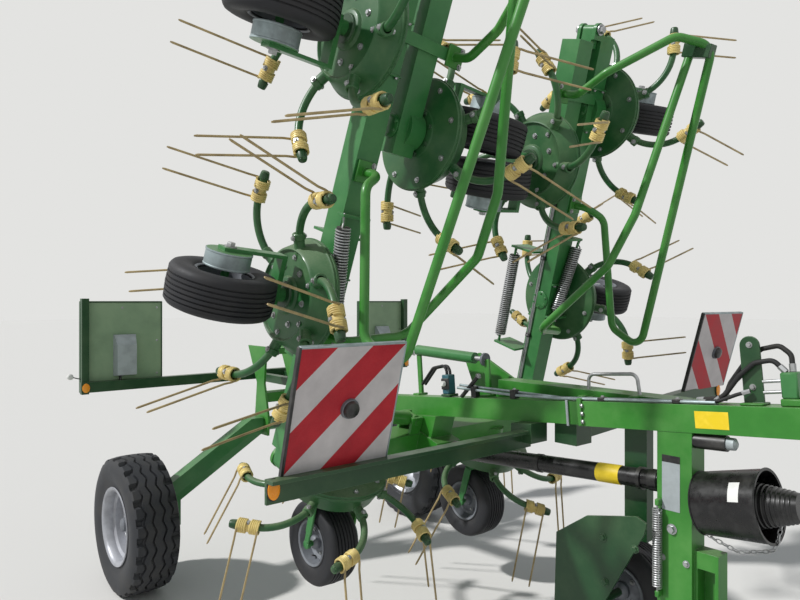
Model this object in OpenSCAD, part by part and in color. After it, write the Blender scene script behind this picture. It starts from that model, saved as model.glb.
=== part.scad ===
// Trailed eight-rotor hay tedder, folded and standing on its transport wheels and parking jack.
// Front faces -Y, the machine's left side is +X, Z is up, and the origin is on the ground.

/* [Rotor gang] */
// Distance between neighbouring rotor axes
rotor_spacing = 1055; // [1040:5:1070]
// Forward lean of the lifted rotor gang, in degrees
gang_lean = 17.3; // [16:0.1:19]
// Height of the inner rotor wheels' centres above the ground
gang_height = 464; // [455:1:475]
// Width and height of the square gang beams
gang_beam = 110; // [100:5:115]
// Height of the gang beams' centre above the rotor wheels' centres
beam_up = 480; // [475:5:490]
// Distance of the wing hinge from the middle of the gang
wing_hinge_x = 822; // [815:1:830]
// Distance of the outer section's hinge from the middle of the gang
outer_hinge_x = 3022; // [3015:1:3030]
// Angle through which a wing is folded up for the road, in degrees
wing_fold = 94.5; // [90:0.5:96]

/* [Rotors] */
// Radius of the rotor pan
pan_r = 240; // [230:5:245]
// Height of the dished pan
pan_h = 125; // [115:5:135]
// Depth of the dish in a pan's underside
pan_dish = 12; // [8:1:18]
// Number of tine arms on a rotor
arm_count = 6; // [6:1:6]
// Radius of the tine arm tube
arm_r = 16; // [14:1:18]
// Radius of the bend that the tine arm is one arc of
arm_bend = 230; // [210:5:240]
// Angle through which the tine arm is bent back, in degrees
arm_turn = 75; // [65:1:80]
// Droop of the tine arm below the pan, in degrees
arm_droop = 20; // [16:1:22]
// Length of a tine
tine_len = 395; // [370:5:395]
// Lean of the tines away from the rotor axis, in degrees
tine_lean = 22; // [15:1:25]

/* [Wheels] */
// Outer radius of a rotor wheel
small_wheel_r = 205; // [195:1:210]
// Width of a rotor wheel
small_wheel_w = 160; // [150:5:165]
// Outer radius of a transport wheel
big_wheel_r = 380; // [370:5:390]
// Width of a transport wheel
big_wheel_w = 255; // [240:5:265]
// Distance of a transport wheel's middle from the middle of the machine
track_half = 1050; // [1040:5:1080]
// Distance of the transport wheels behind the rotor line
big_wheel_back = 1120; // [1100:5:1140]

/* [Frame] */
// Upward slope of the main beam towards the front, in degrees
beam_slope = 5; // [4.5:0.5:5.5]
// Height and width of the front, outer main beam
main_beam = 100; // [90:5:105]
// Height of the main beam's centre above the rotor line
main_beam_z = 1079; // [1065:2:1095]
// Distance of the front post ahead of the rotor line
post_ahead = 1545; // [1530:5:1560]
// Distance of the towing eye ahead of the rotor line
eye_ahead = 3000; // [2900:10:3100]
// Height of the towing eye above the ground
eye_z = 700; // [650:10:750]
// Radius of the towing eye's bore
eye_bore_r = 20; // [16:1:26]

/* [Hidden] */

green = [0.13, 0.42, 0.16];
RIGHT = -1;
LEFT = 1;
fit = 0.05;
clear = 8;

// The rotor line lies a little ahead of the middle of the whole machine's length.
rear_edge = 1484;
front_edge = eye_ahead + 45;
rotor_line_y = (front_edge - rear_edge) / 2;

wing_hinge_u = beam_up;
outer_hinge_u = beam_up + gang_beam / 2 + 30;
pan_top_u = beam_up - gang_beam / 2 - 25;
pan_bottom_u = pan_top_u - pan_h;
outer_pin_r = 14;
stem_r = 30;
crown_u = small_wheel_r + 30;
socket_from = 150;
socket_len = 115;
socket_u = pan_bottom_u + 40;

// Wheel arm side for each rotor: 1 is the outboard side, -1 the inboard side. Offsets run towards the arm.
arm_sides_right = [-1, 1, -1, -1];
arm_sides_left = [1, -1, 1, 1];
wheel_offsets = [0, 0, 0, 100];
can_len = 62;
can_r = 85;
leg_t = 14;

function arm_side(side, number) = side == RIGHT ? arm_sides_right[number - 1] : arm_sides_left[number - 1];
function rotor_x(number) = (number - 0.5) * rotor_spacing;

// A straight round bar between two points.
module bar(p, q, r) {
    d = q - p;
    length = norm(d);
    translate(p)
        rotate([0, acos(d[2] / length), atan2(d[1], d[0])])
            cylinder(h = length, r = r, $fn = 24);
}

// The listed points with each corner replaced by an arc of the given radius, in steps of up to 15 degrees.
function unit(v) = v / norm(v);
function turn_at(points, i) =
    acos(max(-1, min(1, unit(points[i] - points[i - 1]) * unit(points[i + 1] - points[i]))));
function corner_arc(points, i, bend_r) =
    let(d1 = unit(points[i] - points[i - 1]),
        d2 = unit(points[i + 1] - points[i]),
        turn = turn_at(points, i),
        steps = ceil(turn / 15),
        inward = unit(d2 - d1 * (d1 * d2)),
        start = points[i] - d1 * bend_r * tan(turn / 2))
    [for (k = [0 : steps]) start + bend_r * (sin(turn * k / steps) * d1 + (1 - cos(turn * k / steps)) * inward)];
function rounded(points, bend_r) =
    [points[0], for (i = [1 : len(points) - 2]) each corner_arc(points, i, bend_r), points[len(points) - 1]];

// The ring of corner points about each point of a path, carried along without twist.
function tangent(path, i) = unit(path[min(i + 1, len(path) - 1)] - path[max(i - 1, 0)]);
function carried(side, path, i) = let(t = tangent(path, i)) unit(side - t * (side * t));
function sides_along(path, side, i = 0) =
    i == len(path) ? [] :
    let(s = carried(side, path, i)) concat([s], sides_along(path, s, i + 1));
function ring_points(path, r, n, first_side) =
    let(sides = sides_along(path, first_side))
    [for (i = [0 : len(path) - 1]) for (k = [0 : n - 1])
        let(t = tangent(path, i), s = sides[i], c = cross(t, s))
        path[i] + r * (cos(360 * k / n) * s + sin(360 * k / n) * c)];

// A tube of n flat sides through the listed points, with each corner bent to the given radius.
module bent_tube(points, r, bend_r, n = 12, first_side = [1, 0, 0]) {
    path = rounded(points, bend_r);
    rings = len(path);
    polyhedron(ring_points(path, r, n, first_side),
        concat([[for (k = [0 : n - 1]) k]],
            [for (i = [0 : rings - 2]) for (k = [0 : n - 1])
                [i * n + k, (i + 1) * n + k, (i + 1) * n + (k + 1) % n, i * n + (k + 1) % n]],
            [[for (k = [n - 1 : -1 : 0]) (rings - 1) * n + k]]));
}

// Places for the sections of the gang, written as they stand when unfolded.
module at_gang() translate([0, rotor_line_y, gang_height]) rotate([gang_lean, 0, 0]) children();
module on_side(side) mirror([side == RIGHT ? 1 : 0, 0, 0]) children();
module turned_at(x, u, angle) translate([x, 0, u]) rotate([0, -angle, 0]) translate([-x, 0, -u]) children();
module at_centre(side) at_gang() on_side(side) children();
module at_wing(side) at_centre(side) turned_at(wing_hinge_x, wing_hinge_u, wing_fold) children();
module at_outer(side) at_wing(side) turned_at(outer_hinge_x, outer_hinge_u, 180) children();
module at_rotor(side, number) {
    if (number == 1) at_centre(side) translate([rotor_x(1), 0, 0]) children();
    else if (number == 4) at_outer(side) translate([rotor_x(4), 0, 0]) children();
    else at_wing(side) translate([rotor_x(number), 0, 0]) children();
}
// The main beam's own frame: x across, -y forward along the beam, z up from its centre.
module on_beam() translate([0, rotor_line_y, main_beam_z]) rotate([-beam_slope, 0, 0]) children();

// Beam with its gearboxes, rotor stems and wheel arms for a run of rotors.
module section(side, first, last, from_x, to_x) {
    translate([from_x, -gang_beam / 2, beam_up - gang_beam / 2]) cube([to_x - from_x, gang_beam, gang_beam]);
    for (number = [first : last]) translate([rotor_x(number), 0, 0]) {
        translate([0, 0, pan_top_u + clear]) cylinder(h = beam_up - pan_top_u, r = 82, $fn = 48);
        translate([0, 0, crown_u]) cylinder(h = beam_up - crown_u, r = stem_r - fit, $fn = 32);
        wheel_arm(arm_side(side, number), wheel_offsets[number - 1]);
    }
}

module wheel_arm(out, wheel_offset) {
    leg_x = wheel_offset + small_wheel_w / 2 + can_len + clear;
    mirror([out == 1 ? 0 : 1, 0, 0]) {
        translate([-35, -30, crown_u - 22]) cube([leg_x + 35 + leg_t, 60, 22]);
        translate([leg_x, -30, -35]) cube([leg_t, 60, crown_u - 22 + 35]);
        translate([leg_x - can_len, 0, 0]) rotate([0, 90, 0]) cylinder(h = can_len, r = can_r, $fn = 48);
        translate([wheel_offset - 40, 0, 0]) rotate([0, 90, 0])
            cylinder(h = leg_x - wheel_offset + 45, r = 16 - fit, $fn = 24);
    }
}

// Ears and tongue of a hinge whose pin runs along the gang's fore and aft line.
module ear_pair(x, u, reach, r, low, pin_r = 20) {
    for (s = [-1, 1])
        translate([0, s * (gang_beam / 2 - 9) - 9, 0])
            difference() {
                union() {
                    translate([x, 0, u]) rotate([-90, 0, 0]) cylinder(h = 18, r = r, $fn = 32);
                    translate([x + reach, 0, u - low]) cube([-reach, 18, low]);
                    translate([x + reach, 0, u]) cube([-reach, 18, r]);
                }
                translate([x, -1, u]) rotate([-90, 0, 0]) cylinder(h = 20, r = pin_r, $fn = 32);
            }
}
module tongue(x, u, reach, r, pin_r = 20) {
    width = gang_beam - 44;
    difference() {
        union() {
            translate([x, -width / 2, u]) rotate([-90, 0, 0]) cylinder(h = width, r = r, $fn = 32);
            translate([x, -width / 2, u - r]) cube([reach, width, 2 * r]);
        }
        translate([x, -width, u]) rotate([-90, 0, 0]) cylinder(h = 2 * width, r = pin_r + fit, $fn = 32);
    }
}
module hinge_pin(x, u, pin_r = 20) {
    translate([x, -gang_beam / 2 - 6, u]) rotate([-90, 0, 0]) cylinder(h = gang_beam + 12, r = pin_r, $fn = 32);
}

module centre_gang() {
    color(green) at_gang() {
        for (side = [RIGHT, LEFT]) on_side(side) {
            section(side, 1, 1, 0, wing_hinge_x - 75);
            ear_pair(wing_hinge_x, wing_hinge_u, -80, 48, 48);
            hinge_pin(wing_hinge_x, wing_hinge_u);
        }
        // middle gearbox that the drive shaft turns
        translate([-80, -190, beam_up - 65]) cube([160, 200, 130]);
    }
    color(green) shaft_stub(shaft_back, 60);
    // seat below the main beam, cut to its slope
    color(green) difference() {
        at_gang() translate([-70, -130, beam_up]) cube([140, 260, 190]);
        on_beam() translate([-300, -800, 3 - main_beam / 2]) cube([600, 1600, 400]);
    }
    // brackets of the wing lift cylinders
    color(green) at_gang() for (side = [RIGHT, LEFT]) on_side(side)
        {
            for (s = [-1, 1]) translate([cyl_foot[0] - 34, s * (foot_half_w + 8.3) - 8, beam_up + gang_beam / 2 - 5]) cube([68, 16, 95]);
            translate([cyl_foot[0], -foot_half_w - 22, cyl_foot[1]]) rotate([-90, 0, 0]) cylinder(h = 2 * foot_half_w + 44, r = foot_pin_r, $fn = 32);
        }
}

module wing(side) {
    color(green) at_wing(side) {
        section(side, 2, 3, wing_hinge_x + 60, outer_hinge_x - 20);
        tongue(wing_hinge_x, wing_hinge_u, 62, 44);
        ear_pair(outer_hinge_x, outer_hinge_u, -50, 32, 42, outer_pin_r);
        hinge_pin(outer_hinge_x, outer_hinge_u, outer_pin_r);
        for (s = [-1, 1]) translate([lug_x - 30, s * (eye_half_w + 8.3) - 8, beam_up + gang_beam / 2 - 5]) cube([60, 16, lug_u - beam_up - 20]);
        // upright that holds the guard's cross tube
        translate([2665, -gang_beam / 2 - 12, beam_up + 20]) cube([50, 12, guard_post_u - beam_up]);
        // lugs that hold the ends of the springs
        for (x = [springs[0][0][0], springs[0][1][0]])
            translate([x - 6, -gang_beam / 2 - 45, springs_low_u]) cube([12, 50, beam_up + gang_beam / 2 - springs_low_u]);
        for (x = [springs[1][0][0], springs[1][1][0]])
            translate([x - 6, gang_beam / 2 - 10, beam_up]) cube([12, springs[1][0][1] - gang_beam / 2 + 30, springs[1][0][2] + 20 - beam_up]);
    }
    color("silver") at_wing(side) for (s = springs) spring(s[0], s[1], s[2], s[3]);
}
// Springs on a wing: one end, the other end, radius, number of coils.
springs = [
    [[1500, -86, 495], [1953, -86, 411], 27, 24],
    [[1270, 190, 600], [1850, 190, 600], 27, 30],
];
springs_low_u = 400;
// A closely wound spring as one turned shape between two points, with a plain hook rod at each end.
module spring(p, q, r, coils) {
    d = q - p;
    length = norm(d);
    step = (length - 100) / coils;
    translate(p) rotate([0, acos(d[2] / length), atan2(d[1], d[0])]) {
        rotate_extrude($fn = 32) polygon([[0, 50], for (k = [0 : coils - 1]) each
            [[r - 4, 50 + k * step], [r, 50 + (k + 0.5) * step]], [r - 4, length - 50], [0, length - 50]]);
        cylinder(h = length, r = 7, $fn = 24);
    }
}
module wing_right() wing(RIGHT);
module wing_left() wing(LEFT);

module outer(side) {
    color(green) at_outer(side) {
        section(side, 4, 4, outer_hinge_x + 65, rotor_x(4) + 110);
        tongue(outer_hinge_x, outer_hinge_u, 90, 24, outer_pin_r);
        translate([outer_hinge_x + 66, -33, beam_up + gang_beam / 2 - 5]) cube([24, 66, 40]);
    }
}
module outer_right() outer(RIGHT);
module outer_left() outer(LEFT);

// Guard hoops ahead of the rotors, as they lie on the unfolded wing.
guard_r = 19;
guard_post_u = 780;
guard_front = [[2138, -gang_beam / 2, 480], [2138, -150, 480], [2089, -200, 392], [1539, -402, 405], [1500, -606, 440],
    [2965, -636, 518], [2985, -520, 640], [2800, -290, 770], [2690, -160, guard_post_u], [2690, -gang_beam / 2 - 12, guard_post_u]];
guard_back = [[2940, -542, 524], [2189, -569, 716], [1934, -519, 760], [1507, -220, 780], [1440, -150, 500], [1440, -gang_beam / 2, 500]];
module guard(side) {
    color(green) at_wing(side) {
        bent_tube(guard_front, guard_r, 70);
        bent_tube(guard_back, guard_r, 70);
    }
}
module guard_right() guard(RIGHT);
module guard_left() guard(LEFT);

// One rotor: closed pan dished below, arc-shaped arms, coil springs and tines, about its own axis.
module rotor_body(phase) {
    rotate_extrude($fn = 96)
        polygon([[stem_r, pan_bottom_u], [72, pan_bottom_u], [80, pan_bottom_u + pan_dish],
            [pan_r - 62, pan_bottom_u + pan_dish], [pan_r - 54, pan_bottom_u], [pan_r - 40, pan_bottom_u + 8],
            [pan_r - 9, pan_bottom_u + 0.6 * pan_h], [pan_r, pan_bottom_u + 0.66 * pan_h],
            [pan_r, pan_bottom_u + 0.82 * pan_h], [pan_r - 9, pan_bottom_u + 0.86 * pan_h],
            [110, pan_top_u - 4], [stem_r, pan_top_u]]);
    for (k = [0 : arm_count - 1]) rotate([0, 0, phase + k * 360 / arm_count]) tine_arm();
}
// An arm leaves the pan in a socket, runs out and back in one arc, and carries a double coil with two tines.
module tine_arm() {
    arc_from = socket_len / 2;
    translate([socket_from, 0, socket_u]) rotate([0, arm_droop, 0]) {
        rotate([0, 90, 0]) cylinder(h = socket_len, r = arm_r + 8, $fn = 32);
        translate([arc_from, arm_bend, 0]) rotate([0, 0, -90])
            rotate_extrude(angle = arm_turn, $fn = 96) translate([arm_bend, 0]) circle(r = arm_r, $fn = 24);
        translate([arc_from + arm_bend * sin(arm_turn), arm_bend * (1 - cos(arm_turn)), 0]) rotate([0, 0, arm_turn]) {
            rotate([0, 90, 0]) translate([0, 0, -30]) tine_coil();
            rotate([0, 90, 0]) translate([0, 0, 70]) cylinder(h = 40, r = arm_r + 5, $fn = 32);
        }
    }
    tip = [socket_from, 0, socket_u] + (arc_from + arm_bend * sin(arm_turn)) * [cos(arm_droop), 0, -sin(arm_droop)]
        + [0, arm_bend * (1 - cos(arm_turn)), 0];
    along = [cos(arm_turn) * cos(arm_droop), sin(arm_turn), -cos(arm_turn) * sin(arm_droop)];
    flat = unit([sin(arm_turn), -cos(arm_turn), 0]);
    down = sin(tine_lean) * flat - [0, 0, cos(tine_lean)];
    color("silver") for (k = [-26, 66]) bar(tip + along * k + down * 20, tip + along * k + down * tine_len, 5);
}
// Two wound springs with the clamp between them, turned as one closed shape.
module tine_coil() {
    color([0.72, 0.58, 0.2]) rotate_extrude($fn = 48)
        polygon([[0, 0], [28, 0], [33, 5], [28, 10], [33, 15], [28, 20], [33, 25], [28, 30], [33, 35], [28, 40], [24, 42],
            [24, 58], [28, 60], [33, 65], [28, 70], [33, 75], [28, 80], [33, 85], [28, 90], [33, 95], [28, 100], [0, 100]]);
}
function phase_of(side, number) = (number + (side == RIGHT ? 1 : 0)) % 2 == 0 ? 30 : 0;
module rotor(side, number)
    color(green) at_rotor(side, number) mirror([0, number % 2 == 0 ? 1 : 0, 0]) rotor_body(phase_of(side, number));
module rotor_r1() rotor(RIGHT, 1);
module rotor_r2() rotor(RIGHT, 2);
module rotor_r3() rotor(RIGHT, 3);
module rotor_r4() rotor(RIGHT, 4);
module rotor_l1() rotor(LEFT, 1);
module rotor_l2() rotor(LEFT, 2);
module rotor_l3() rotor(LEFT, 3);
module rotor_l4() rotor(LEFT, 4);

// A wheel about its own X axis: tyre and dished rim in one closed turned shape.
module wheel(r, w, rim_r, bore_r) {
    color([0.12, 0.12, 0.12]) rotate([0, 90, 0]) rotate_extrude($fn = 128)
        polygon([[bore_r, -w * 0.3], [rim_r * 0.45, -w * 0.3], [rim_r * 0.6, -w * 0.08], [rim_r * 0.9, -w * 0.1], [rim_r, -w * 0.42],
            [rim_r * 1.08, -w * 0.44], [r * 0.93, -w / 2], [r * 0.985, -w * 0.42], [r, -w * 0.25],
            [r, w * 0.25], [r * 0.985, w * 0.42], [r * 0.93, w / 2], [rim_r * 1.08, w * 0.44],
            [rim_r, w * 0.42], [rim_r * 0.9, w * 0.05], [rim_r * 0.6, w * 0.03], [rim_r * 0.45, w * 0.22], [bore_r, w * 0.22]]);
}
module rotor_wheel(side, number) {
    at_rotor(side, number)
        translate([arm_side(side, number) * wheel_offsets[number - 1], 0, 0])
            mirror([arm_side(side, number) == 1 ? 0 : 1, 0, 0])
                wheel(small_wheel_r, small_wheel_w, 105, 16);
}
module rotor_wheel_r1() rotor_wheel(RIGHT, 1);
module rotor_wheel_r2() rotor_wheel(RIGHT, 2);
module rotor_wheel_r3() rotor_wheel(RIGHT, 3);
module rotor_wheel_r4() rotor_wheel(RIGHT, 4);
module rotor_wheel_l1() rotor_wheel(LEFT, 1);
module rotor_wheel_l2() rotor_wheel(LEFT, 2);
module rotor_wheel_l3() rotor_wheel(LEFT, 3);
module rotor_wheel_l4() rotor_wheel(LEFT, 4);

// Main frame: sloping beam with a side beam, and the two pairs of rear plates that carry the swing axle.
axle_pivot_y = 1010;
axle_pivot_z = 865;
cheek_t = 14;
cheek_places = [70, 300];
axle_tube_r = 42;
module main_frame() {
    color(green) on_beam() {
        translate([-main_beam / 2 + 6, -1150, -main_beam / 2 + 3]) cube([main_beam - 12, 2180, main_beam - 6]);
        translate([-main_beam / 2, -2000, -main_beam / 2]) cube([main_beam, 860, main_beam]);
        // cross pieces between the main beam and the side beam
        for (y = [-1480, -640]) translate([-40, y, -30]) cube([180, 60, 60]);
    }
    color(green) translate([0, rotor_line_y, 0]) {
        translate([80, -1550, 1150]) cube([120, 950, 108]);
        translate([200, 0, 0]) rotate([90, 0, -90]) linear_extrude(16)
            polygon([[600, 1150], [600, 1258], [375, 1368], [282, 1320], [360, 1150]]);
    }
    // rear head: waisted plates, a cross piece and the pivot tube
    color(green) translate([0, rotor_line_y, 0]) {
        for (s = [-1, 1], x = cheek_places)
            translate([s * x - cheek_t / 2, 0, 0]) difference() {
                rotate([90, 0, 90]) linear_extrude(cheek_t)
                    polygon([[940, 800], [1080, 800], [1100, 900], [1075, 1120], [1190, 1350], [960, 1350], [985, 1120], [930, 900]]);
                translate([-1, axle_pivot_y, axle_pivot_z]) rotate([0, 90, 0])
                    cylinder(h = cheek_t + 2, r = x == 300 ? 30 + fit : axle_tube_r + 6, $fn = 48);
            }
        translate([-300, 985, 1000]) cube([600, 90, 60]);
        translate([-300, 960, 1300]) cube([600, 40, 40]);
    }
}

// Drawbar from the main beam's front end down to the towing eye.
module drawbar() {
    // side profile of the drawbar as forward distance and height, cut square to the beam's front end
    top = [2000 * cos(beam_slope), main_beam_z + 2000 * sin(beam_slope)];
    square = [sin(beam_slope), -cos(beam_slope)];
    color(green) translate([-40, rotor_line_y, 0]) rotate([0, 0, -90]) rotate([90, 0, 0])
        mirror([0, 0, 1]) linear_extrude(80)
            polygon([top - 46 * square, top + [200, -20], [eye_ahead - 330, eye_z + 75], [eye_ahead - 40, eye_z + 45],
                [eye_ahead - 25, eye_z - 25], [eye_ahead - 360, eye_z - 45], top + [120, -170], top + 46 * square]);
    color("dimgray") translate([0, rotor_line_y - eye_ahead, eye_z - 15]) difference() {
        cylinder(h = 30, r = 45, $fn = 48);
        translate([0, 0, -1]) cylinder(h = 32, r = eye_bore_r, $fn = 48);
    }
}

jack_y = rotor_line_y - post_ahead;
module front_post() {
    color("silver") shaft_stub(shaft_front, -18);
    color(green) {
        difference() {
            union() {
                translate([-48, jack_y - 65, 330]) cube([96, 130, 860]);
                // channel on the front of the post, open to the right
                translate([-30, jack_y - 150, 300]) cube([70, 86, 450]);
            }
            translate([-38, jack_y - 52, 320]) cube([76, 104, 780]);
            translate([-31, jack_y - 138, 290]) cube([59, 62, 400]);
            on_beam() translate([-200, -2500, -main_beam / 2]) cube([400, 3000, 600]);
        }
    }
}
module parking_jack_leg() {
    color("silver") translate([0, jack_y, 0]) {
        translate([-37.7, -51.7, 14]) cube([75.4, 103.4, 700]);
        translate([-90, -80, 0]) cube([180, 160, 14]);
    }
}

front_wheel_y = 1268;
front_wheel_z = 470;
front_wheel_x = 100;
module front_wheel_arm() {
    y = rotor_line_y - front_wheel_y;
    color(green) {
        translate([-120, y, front_wheel_z]) rotate([0, 90, 0]) cylinder(h = 330, r = 16 - fit, $fn = 24);
        // shield on the right side of the wheel
        translate([-124, rotor_line_y, 0]) rotate([90, 0, 90]) linear_extrude(10)
            polygon([[-1480, 830], [-1440, 848], [-1229, 800], [-1087, 700], [-1077, 400], [-1290, 400], [-1308, 491], [-1470, 790]]);
        translate([-124, rotor_line_y - 1300, 698]) cube([328, 95, 14]);
        translate([-124, rotor_line_y - 1440, 790]) rotate([-13, 0, 0]) cube([70, 200, 8]);
        translate([192, y - 38, front_wheel_z - 40]) cube([12, 76, 705 - front_wheel_z + 40]);
        // leg from the main beam
        difference() {
            translate([45, rotor_line_y - 1387, 698]) cube([50, 95, 600]);
            on_beam() translate([-300, -2500, -main_beam / 2]) cube([700, 3000, 600]);
        }
    }
}
module front_wheel() {
    translate([front_wheel_x, rotor_line_y - front_wheel_y, front_wheel_z]) wheel(small_wheel_r - 5, 150, 105, 16);
}

// Swing axle: a portal whose legs run down and out from the pivot tube to the stub axles.
module swing_axle() {
    hub_y = rotor_line_y + big_wheel_back;
    arm_x = track_half - big_wheel_w / 2 - 80;
    pivot = [rotor_line_y + axle_pivot_y, axle_pivot_z];
    inner_x = cheek_places[1] - cheek_t / 2 - 5;
    color(green) {
        translate([-inner_x, pivot[0], pivot[1]]) rotate([0, 90, 0]) cylinder(h = 2 * inner_x, r = axle_tube_r, $fn = 48);
        for (s = [-1, 1]) {
            translate([s * inner_x, pivot[0], pivot[1]]) rotate([0, s * 90, 0]) cylinder(h = 100, r = 30, $fn = 48);
            hull() {
                translate([s * 355 - 40, pivot[0] - 35, pivot[1] - 45]) cube([80, 80, 90]);
                translate([s * arm_x - 40, hub_y - 45, 470]) cube([80, 80, 90]);
            }
            translate([s * arm_x - 40, hub_y - 45, big_wheel_r - 55]) cube([80, 90, 160]);
            translate([s * (arm_x + 20), hub_y, big_wheel_r]) rotate([0, s * 90, 0]) cylinder(h = 140, r = 30 - fit, $fn = 32);
        }
    }
}
module transport_wheel(side) {
    translate([side * track_half, rotor_line_y + big_wheel_back, big_wheel_r])
        mirror([side == RIGHT ? 0 : 1, 0, 0])
            wheel(big_wheel_r, big_wheel_w, 205, 30);
}
module transport_wheel_right() transport_wheel(RIGHT);
module transport_wheel_left() transport_wheel(LEFT);

// Wing lift cylinders: the barrel turns on the centre gang, the rod reaches to a lug above the unfolded wing beam.
cyl_foot = [110, 600];
foot_half_w = 36;
foot_pin_r = 14;
eye_half_w = 22;
lug_out = 230;
lug_up = 120;
lug_x = wing_hinge_x + lug_out;
lug_u = wing_hinge_u + lug_up;
cyl_eye = [wing_hinge_x + lug_out * cos(wing_fold) - lug_up * sin(wing_fold),
    wing_hinge_u + lug_out * sin(wing_fold) + lug_up * cos(wing_fold)];
cyl_full = norm(cyl_eye - cyl_foot);
module cylinder_place(side) at_centre(side)
    translate([cyl_foot[0], 0, cyl_foot[1]])
        rotate([0, atan2(cyl_eye[0] - cyl_foot[0], cyl_eye[1] - cyl_foot[1]), 0]) children();
module lift_cylinder(side) color(green) cylinder_place(side) difference() {
    union() {
        translate([0, 0, 25]) cylinder(h = cyl_full - 75, r = 34, $fn = 48);
        translate([0, -foot_half_w, 0]) rotate([-90, 0, 0]) cylinder(h = 2 * foot_half_w, r = 30, $fn = 32);
    }
    translate([0, -50, 0]) rotate([-90, 0, 0]) cylinder(h = 100, r = foot_pin_r + fit, $fn = 32);
    translate([0, 0, 45]) cylinder(h = cyl_full, r = 28, $fn = 48);
}
module lift_rod(side) color("silver") cylinder_place(side) {
    translate([0, 0, 50]) cylinder(h = cyl_full - 70, r = 16, $fn = 32);
    translate([0, 0, 50]) cylinder(h = 30, r = 28 - fit, $fn = 48);
    translate([0, -eye_half_w, cyl_full]) rotate([-90, 0, 0]) cylinder(h = 2 * eye_half_w, r = 30, $fn = 32);
}
module cylinder_right() lift_cylinder(RIGHT);
module cylinder_left() lift_cylinder(LEFT);
module rod_right() lift_rod(RIGHT);
module rod_left() lift_rod(LEFT);

// Drive line below the main beam: the bell round its input, and the guarded shaft back to the middle gearbox.
pto_z = 915;
bell_rise = 10;
module pto_guard() {
    translate([0, jack_y - 65, pto_z]) rotate([90 - bell_rise, 0, 0]) {
        color([0.08, 0.08, 0.08]) difference() {
            translate([0, 0, 20]) cylinder(h = 225, r1 = 108, r2 = 122, $fn = 64);
            translate([0, 0, 32]) cylinder(h = 225, r1 = 102, r2 = 116, $fn = 64);
        }
        color("silver") translate([0, 0, 8]) cylinder(h = 190, r = 34, $fn = 32);
        color([0.08, 0.08, 0.08]) translate([0, 0, 190]) cylinder(h = 150, r1 = 78, r2 = 46, $fn = 48);
    }
}
// Ends of the shaft, and a round stub on its line at either end.
shaft_front = [0, -1470, 963];
shaft_back = [0, -380, gang_height + 428];
module shaft_stub(at, along) translate([0, rotor_line_y, 0]) bar(at, at + along * unit(shaft_back - shaft_front), 28);
module pto_shaft() {
    color([0.06, 0.06, 0.06]) translate([0, rotor_line_y, 0]) bar(shaft_front, shaft_back, 37);
}

// Front warning boards on flat arms from the main beam: arm root, arm tip, middle of the board, turn and lean of the board.
board_w = 423;
board_h = 423;
board_places = [
    [[-50, -893, 1044], [-1340, -893, 1044], [-1072, -944, 1289], 0, 15],
    [[50, -1042, 1073], [1440, -1042, 1141], [1250, -1097, 1366], -2, 15],
];
module warning_board(side) {
    place = board_places[side == RIGHT ? 0 : 1];
    run = place[1] - place[0];
    translate([0, rotor_line_y, 0]) {
        color(green) translate(place[0]) rotate([0, 0, atan2(run[1], run[0])])
            rotate([0, -atan2(run[2], norm([run[0], run[1]])), 0]) {
                translate([0, -6, -40]) cube([norm(run), 12, 80]);
                translate([0, -6, 28]) cube([norm(run), 50, 12]);
            }
        // seat of the arm below the main beam
        color(green) difference() {
            translate([side == RIGHT ? -110 : 1, place[0][1] - 55, 1030]) cube([109, 110, 160]);
            translate([0, -rotor_line_y, 0]) on_beam() translate([-300, -2500, 3 - main_beam / 2]) cube([700, 3000, 600]);
        }
        translate(place[2]) rotate([0, 0, place[3]]) rotate([place[4], 0, 0]) {
            color("white") translate([-board_w / 2, -5, -board_h / 2]) cube([board_w, 10, board_h]);
            color(green) translate([-20, 5, -board_h / 2 - 60]) cube([40, 30, board_h / 2 + 60]);
        }
    }
}
module warning_board_right() warning_board(RIGHT);
module warning_board_left() warning_board(LEFT);
module rear_boards() {
    y = rotor_line_y + 1400;
    color(green) {
        translate([-1260, y, 1100]) cube([2520, 50, 60]);
        // arms beside the inner pair of rear plates
        for (s = [-1, 1]) translate([s * (cheek_places[0] + cheek_t / 2 + 25) - 25, rotor_line_y + 1000, 1090]) cube([50, 405, 50]);
        for (s = [-1, 1]) translate([s * 1235 - 20, y + 10, 1090]) cube([40, 40, 560]);
    }
    color("white") for (s = [-1, 1]) translate([s * 1015 - 240, y + 49, 1150]) cube([480, 12, 480]);
}

main_frame();
drawbar();
front_post();
parking_jack_leg();
front_wheel_arm();
front_wheel();
swing_axle();
transport_wheel_right();
transport_wheel_left();
centre_gang();
wing_right();
wing_left();
guard_right();
guard_left();
outer_right();
outer_left();
rotor_r1();
rotor_r2();
rotor_r3();
rotor_r4();
rotor_l1();
rotor_l2();
rotor_l3();
rotor_l4();
rotor_wheel_r1();
rotor_wheel_r2();
rotor_wheel_r3();
rotor_wheel_r4();
rotor_wheel_l1();
rotor_wheel_l2();
rotor_wheel_l3();
rotor_wheel_l4();
cylinder_right();
cylinder_left();
rod_right();
rod_left();
pto_guard();
pto_shaft();
warning_board_right();
warning_board_left();
rear_boards();
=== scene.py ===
"""Looks of the trailed rotary hay tedder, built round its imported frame. Metres, +Z up, front towards -Y."""

import logging
import math
from dataclasses import dataclass, field
from enum import Enum
from itertools import product
from typing import ClassVar, Iterable, Optional, Sequence

import bpy
from mathutils import Matrix, Vector


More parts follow.
